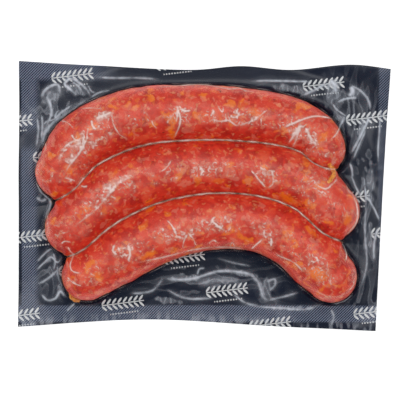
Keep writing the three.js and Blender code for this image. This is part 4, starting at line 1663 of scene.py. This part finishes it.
    def wrinkles(self, near: Nearness, loose: np.ndarray) -> tuple[np.ndarray, np.ndarray]:
        """Short squiggles of loose film in a band along the top of each sausage, with glints painted on them.

        They are ridged noise in two directions, warped, kept where a slower noise is high, and broken up by a
        finer one. Soft blotches lie between them, and faint ridges on the rest of the meat.

        Args:
            near: how the grid's points lie to the sausages.
            loose: how loose the film is, from 0 to 1.

        Returns:
            Their height, and their haze with the painted glints, over the grid.
        """
        x, y, lean = near.x, near.y, near.lean
        # The painted glints lie in a band over each sausage's crown, where the lamps reflect
        band = smoothstep(lean, -0.46, -0.34) * (1 - smoothstep(lean, 0.05, 0.4))
        reach = np.maximum(band, loose * smoothstep(lean, -0.7, -0.4))
        warp_x = gradient_noise(x / 4.2, y / 4.2, 61) * 1.1
        warp_y = gradient_noise(x / 4.2, y / 4.2, 62) * 0.8
        stroke = ridged(x / 3.2 + warp_x, y / 6.5 + warp_y, 63, 5.0)
        cross = ridged(x / 5.5 + warp_y, y / 3.6 + warp_x, 64, 5.0)
        kept = smoothstep(gradient_noise(x / 7.0, y / 6.0, 65) + 0.45 * loose, -0.02, 0.3)
        other = smoothstep(gradient_noise(x / 8.0, y / 6.0, 66) + 0.45 * loose, 0.02, 0.35)
        broken = 0.3 + 0.7 * smoothstep(gradient_noise(x / 1.7, y / 1.7, 68), -0.15, 0.4)
        total = np.maximum(stroke * kept, cross * other * 0.8) * reach * (0.7 + 0.5 * loose) * broken
        blotch = gradient_noise(x / 3.6, y / 3.6, 69) + 0.6 * gradient_noise(x / 1.5, y / 1.5, 70)
        blotch = smoothstep(blotch, 0.0, 0.6) * reach * (0.35 + 0.65 * loose)
        faint = ridged(x / 4.0 + warp_y, y / 4.5 + warp_x, 67, 3.0) * (1 - reach) * 0.25
        return 0.22 * total + 0.08 * blotch + 0.10 * faint, 0.85 * total + 0.2 * blotch + 0.03 * faint

    def backing_height(self, near: Nearness) -> np.ndarray:
        """The backing's underside: flat under the meat, drawn up beside it, waved and curled at the rim.

        The skirt is a soft step up and down again of the distance from the nearest spine. The waves are 1 and
        a sine along the pack times a cosine across it, and each corner's curl is a soft step of its distance.

        Args:
            near: how the grid's points lie to the sausages.

        Returns:
            The height over the grid.
        """
        x, y, nearest = near.x, near.y, np.min(near.distances, axis=0)
        rise = smoothstep(nearest, self.skirt_start, self.skirt_top)
        rise = rise * (1 - smoothstep(nearest, self.skirt_top, self.skirt_foot))
        along, across = (x + HALF_LENGTH) / (2 * HALF_LENGTH), (y + HALF_WIDTH) / (2 * HALF_WIDTH)
        to_edge = np.minimum(np.minimum(along, 1 - along), np.minimum(across, 1 - across))
        waves = 1 + np.sin(along * 16.5 + 0.6) * np.cos(across * 9.4 + 1.2)
        rim = (1 - smoothstep(to_edge, 0, 0.13)) * self.rim_wave * waves
        curl = np.zeros(x.shape)
        corners = (FRONT_EDGE[0], BACK_EDGE[0], FRONT_EDGE[-1], BACK_EDGE[-1])
        for (corner_x, corner_y), lift in zip(corners, self.corner_lifts):
            curl += lift * (1 - smoothstep(np.hypot(x - corner_x, y - corner_y), 0, self.corner_reach))
        return self.skirt_height * rise + rim + curl

    def close(self, height: np.ndarray) -> np.ndarray:
        """Spans the hollows that a taut film can't reach.

        A flat-bottomed parabola, the film's tightest bend, is rolled over the surface: the highest of all
        shifted copies lowered by bend times (distance less the flat) squared, then the lowest of all shifted
        copies raised by the same.

        Args:
            height: what the film has to clear, over the grid.

        Returns:
            The film's height over the grid.
        """
        reach = round(self.film_span / self.step)
        result = height
        for best, sign in ((np.maximum, -1), (np.minimum, 1)):
            for axis in (0, 1):
                source = result
                margins = [(reach, reach) if a == axis else (0, 0) for a in (0, 1)]
                padded = np.pad(source, margins, mode="edge")
                for shift in range(-reach, reach + 1):
                    window = [slice(None), slice(None)]
                    window[axis] = slice(reach + shift, reach + shift + source.shape[axis])
                    offset = sign * self.film_bend * max(abs(shift) * self.step - self.film_flat, 0) ** 2
                    result = best(result, padded[tuple(window)] + offset)
        return result

    def sample(self, heights: np.ndarray, x: np.ndarray, y: np.ndarray) -> np.ndarray:
        """Heights between the grid's points, blended from the four round each place.

        Args:
            heights: numbers over the grid.
            x: places along the pack.
            y: places across it.

        Returns:
            The number at each place.
        """
        i, j = (x - self.x[0]) / self.step, (y - self.y[0]) / self.step
        i0 = np.clip(np.floor(i).astype(int), 0, len(self.x) - 2)
        j0 = np.clip(np.floor(j).astype(int), 0, len(self.y) - 2)
        u, v = i - i0, j - j0
        low = heights[i0, j0] * (1 - u) + heights[i0 + 1, j0] * u
        high = heights[i0, j0 + 1] * (1 - u) + heights[i0 + 1, j0 + 1] * u
        return low * (1 - v) + high * v


@dataclass
class Pouch:
    """The pack's two sheets, the printed backing and the clear film, over one outline."""

    surface: PackSurface
    front_edge: Points = FRONT_EDGE
    back_edge: Points = BACK_EDGE
    backing_columns: int = 270
    backing_rows: int = 178
    film_columns: int = 609
    film_rows: int = 481
    # How finely a column is measured to place the rows, and over how many steps the slope is evened out
    column_steps: int = 900
    smoothed_over: int = 9

    def outline(self, columns: int) -> tuple[np.ndarray, np.ndarray]:
        """The front and back edges at even steps along each."""
        return tuple(resample(smooth_line(edge), columns) for edge in (self.front_edge, self.back_edge))

    def place_rows(
        self, heights: np.ndarray, columns: int, rows: int, weight: float
    ) -> tuple[np.ndarray, np.ndarray]:
        """Places a grid over the sheet, closer where the sheet is steep.

        Down each column a step's cost is the root of 1 and the weighted slope squared, and the rows share
        the column's whole cost evenly.

        Args:
            heights: the sheet's heights on the fine grid.
            columns: vertices along the pack.
            rows: vertices across it.
            weight: how much the slope counts.

        Returns:
            The vertices' x and y.
        """
        front, back = self.outline(columns)
        share = np.linspace(0, 1, self.column_steps)
        x = front[:, :1] + (back[:, :1] - front[:, :1]) * share
        y = front[:, 1:] + (back[:, 1:] - front[:, 1:]) * share
        z = self.surface.sample(heights, x, y)
        slope = np.abs(np.diff(z, axis=1)) / np.abs(np.diff(y, axis=1))
        cost = np.sqrt(1 + (weight * slope) ** 2)
        kernel = np.ones(self.smoothed_over) / self.smoothed_over
        padded = np.pad(cost, ((0, 0), (self.smoothed_over // 2, self.smoothed_over // 2)), mode="edge")
        cost = np.stack([np.convolve(line, kernel, "valid") for line in padded])
        total = np.concatenate([np.zeros((columns, 1)), np.cumsum(cost, axis=1)], axis=1)
        even = np.linspace(0, 1, rows)
        placed = np.stack([np.interp(even * line[-1], line, share) for line in total])
        return (
            front[:, :1] + (back[:, :1] - front[:, :1]) * placed,
            front[:, 1:] + (back[:, 1:] - front[:, 1:]) * placed,
        )

    def seal(self, x: np.ndarray, y: np.ndarray) -> np.ndarray:
        """Where the sealing bars pressed, from 0 to 1: a band along each edge, the highest of which counts.

        The left one is nearly clear in one place, the back one ends before the middle, and the right one is
        faint towards the front.

        Args:
            x: places along the pack.
            y: places across it.

        Returns:
            How far each place is pressed.
        """
        left = smoothstep(x, -99.5, -99) * (1 - smoothstep(x, -93, -88.5))
        left = left * (1 - 0.8 * np.exp(-(((y - 31) / 5.5) ** 4)))
        front = smoothstep(y, -69, -68) * (1 - smoothstep(y, -60, -59.2))
        back = smoothstep(y, 61.5, 65) * (1 - smoothstep(x, -68, -45))
        right = smoothstep(x, 94.5, 95.2) * (0.5 + 0.3 * smoothstep(y, 40, 55))
        return np.clip(np.maximum.reduce([left, front, back, right]), 0, 1)

    def build_backing(self, material: bpy.types.Material) -> bpy.types.Object:
        """Makes the backing: two matching grids its thickness apart, joined round the rim.

        Args:
            material: the backing's finish.

        Returns:
            The piece.
        """
        x, y = self.place_rows(self.surface.backing, self.backing_columns, self.backing_rows, 0.3)
        z = self.surface.sample(self.surface.backing, x, y)
        rows, columns = x.shape
        top = np.stack([x, y, z + BACKING_MM], -1).reshape(-1, 3)
        under = np.stack([x, y, z], -1).reshape(-1, 3)
        faces = grid_faces(rows, columns)[:, ::-1]
        count = len(top)
        rim = np.concatenate(
            [
                np.arange(columns - 1),
                np.arange(rows - 1) * columns + columns - 1,
                (rows - 1) * columns + np.arange(columns - 1, 0, -1),
                np.arange(rows - 1, 0, -1) * columns,
            ]
        )
        onward = np.roll(rim, -1)
        walls = np.stack([rim, onward, onward + count, rim + count], 1)
        quads = np.vstack([faces, faces[:, ::-1] + count, walls])
        piece = make_piece("backing_laminate", np.vstack([top, under]), quads)
        paint(piece, "seal", np.tile(self.seal(x, y).ravel(), 2))
        piece.data.materials.append(material)
        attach(piece, ROOT)
        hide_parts("backing_sheet")
        return piece

    def build_film(self, material: bpy.types.Material) -> list[bpy.types.Object]:
        """Makes the film: one sheet over the meat and the backing, in four quarters of a size that exports.

        The quarters share the vertices of their common edges, and the normals there, which are the cross
        product of the steps to the neighbours along both sides of the grid.

        Args:
            material: the film's finish.

        Returns:
            The pieces.
        """
        x, y = self.place_rows(self.surface.film, self.film_columns, self.film_rows, 0.55)
        points = np.stack([x, y, self.surface.sample(self.surface.film, x, y)], -1)
        normals = np.cross(np.gradient(points, axis=0), np.gradient(points, axis=1))
        normals /= np.linalg.norm(normals, axis=-1, keepdims=True)
        haze_and_painted_light = self.surface.sample(self.surface.haze_and_painted_light, x, y)
        warm = self.surface.sample(self.surface.warm, x, y)
        half_c, half_r = self.film_columns // 2, self.film_rows // 2
        pieces = []
        for across, columns in (("left", slice(0, half_c + 1)), ("right", slice(half_c, None))):
            for along, rows in (("front", slice(0, half_r + 1)), ("back", slice(half_r, None))):
                part = points[columns, rows]
                faces = grid_faces(*part.shape[:2])[:, ::-1]
                piece = make_piece(f"shrunk_film_{along}_{across}", part.reshape(-1, 3), faces)
                piece.data.normals_split_custom_set_from_vertices(normals[columns, rows].reshape(-1, 3))
                # The haze attribute, with its painted highlights and reflections
                paint(piece, "haze_and_painted_light", haze_and_painted_light[columns, rows])
                paint(piece, "warm", warm[columns, rows])
                piece.data.materials.append(material)
                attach(piece, ROOT)
                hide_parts("clear_film")
                pieces.append(piece)
        return pieces


class Serves(Enum):
    """What a lamp lights: everything, or only reflections, or only the matt part of a surface."""

    ALL = "all"
    GLOSS = "gloss"
    SHADE = "shade"


@dataclass(frozen=True)
class Softbox:
    """A rectangular lamp: its middle and size in metres, its turn in degrees, its radiance and its use."""

    name: str
    middle: tuple[float, float, float]
    turn: tuple[float, float, float]
    size: tuple[float, float]
    radiance: float
    serves: Serves = Serves.ALL

    def hang(self) -> None:
        """Hangs the lamp, whose power is pi times its area times its radiance."""
        light = bpy.data.lights.new(self.name, "AREA")
        light.shape = "RECTANGLE"
        light.size, light.size_y = self.size
        light.energy = math.pi * self.size[0] * self.size[1] * self.radiance
        lamp = bpy.data.objects.new(self.name, light)
        lamp.location = self.middle
        lamp.rotation_euler = [math.radians(angle) for angle in self.turn]
        lamp.visible_diffuse = self.serves is not Serves.GLOSS
        lamp.visible_glossy = self.serves is not Serves.SHADE
        bpy.context.scene.collection.objects.link(lamp)


@dataclass(frozen=True)
class Studio:
    """The camera over the pack, the lamps and the white ground, in metres."""

    camera_height: float = 1.1
    camera_shift: tuple[float, float] = (-0.0022, -0.0022)
    lens_mm: float = 181.7
    sensor_mm: float = 36.0
    softboxes: tuple[Softbox, ...] = (
        Softbox("key_softbox", (-0.4, 2.45, 2.2), (-20, 0, 0), (5.0, 3.3), 0.5),
        Softbox("bright_strip", (-0.15, 0.62, 2.1), (-14, 0, 0), (2.8, 0.7), 2.2, Serves.GLOSS),
        Softbox("left_strip", (-1.9, 0.1, 1.5), (0, -52, 0), (1.2, 3.2), 0.7, Serves.GLOSS),
        Softbox("right_strip", (1.9, 0.1, 1.5), (0, 52, 0), (1.2, 3.2), 0.7, Serves.GLOSS),
        Softbox("front_strip", (0, -1.9, 1.5), (52, 0, 0), (3.2, 1.0), 0.35, Serves.GLOSS),
        Softbox("overhead_fill", (0, -0.2, 2.6), (0, 0, 0), (4.4, 4.4), 1.31, Serves.SHADE),
    )
    room_colour: str = "E9EDF2"
    room_strength: float = 0.12
    ground_half: float = 3.0

    def build(self) -> None:
        """Sets the camera straight above the pack, hangs the lamps and lays the paper ground."""
        camera_data = bpy.data.cameras.new("camera")
        camera_data.lens = self.lens_mm
        camera_data.sensor_width = self.sensor_mm
        camera_data.clip_end = 100
        camera = bpy.data.objects.new("camera", camera_data)
        camera.location = (*self.camera_shift, self.camera_height)
        bpy.context.scene.collection.objects.link(camera)
        bpy.context.scene.camera = camera
        for softbox in self.softboxes:
            softbox.hang()
        world = bpy.data.worlds.new("studio")
        world.use_nodes = True
        background = world.node_tree.nodes["Background"]
        background.inputs["Color"].default_value = linear(self.room_colour)
        background.inputs["Strength"].default_value = self.room_strength
        bpy.context.scene.world = world
        bpy.context.scene.view_settings.view_transform = "Standard"
        half = self.ground_half / MM
        corners = np.array([(-half, -half, 0), (half, -half, 0), (half, half, 0), (-half, half, 0)])
        ground = make_piece("paper_ground", corners, np.array([[0, 1, 2, 3]]))
        ground.data.materials.append(StudioPaper().build())


def main() -> None:
    """Builds the pack piece by piece, then its studio."""
    logging.basicConfig(level=logging.INFO)
    meat, casing = CoarseMeat().build(), TwistedCasing().build()
    for name, spine in SPINES.items():
        others = tuple(other for key, other in SPINES.items() if key != name)
        piece = Sausage(f"{name}_meat", spine, others).build(meat)
        if name in TAILS:
            tail = CasingTail(f"{name}_tail", TAILS[name]).build(casing)
            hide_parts(name)
        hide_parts(name)
        LOG.info("%s: %d faces", piece.name, len(piece.data.polygons))
    pouch = Pouch(PackSurface())
    for piece in (pouch.build_backing(PrintedLaminate().build()), *pouch.build_film(ClearFilm().build())):
        LOG.info("%s: %d faces", piece.name, len(piece.data.polygons))
    Studio().build()


if __name__ == "__main__":
    main()
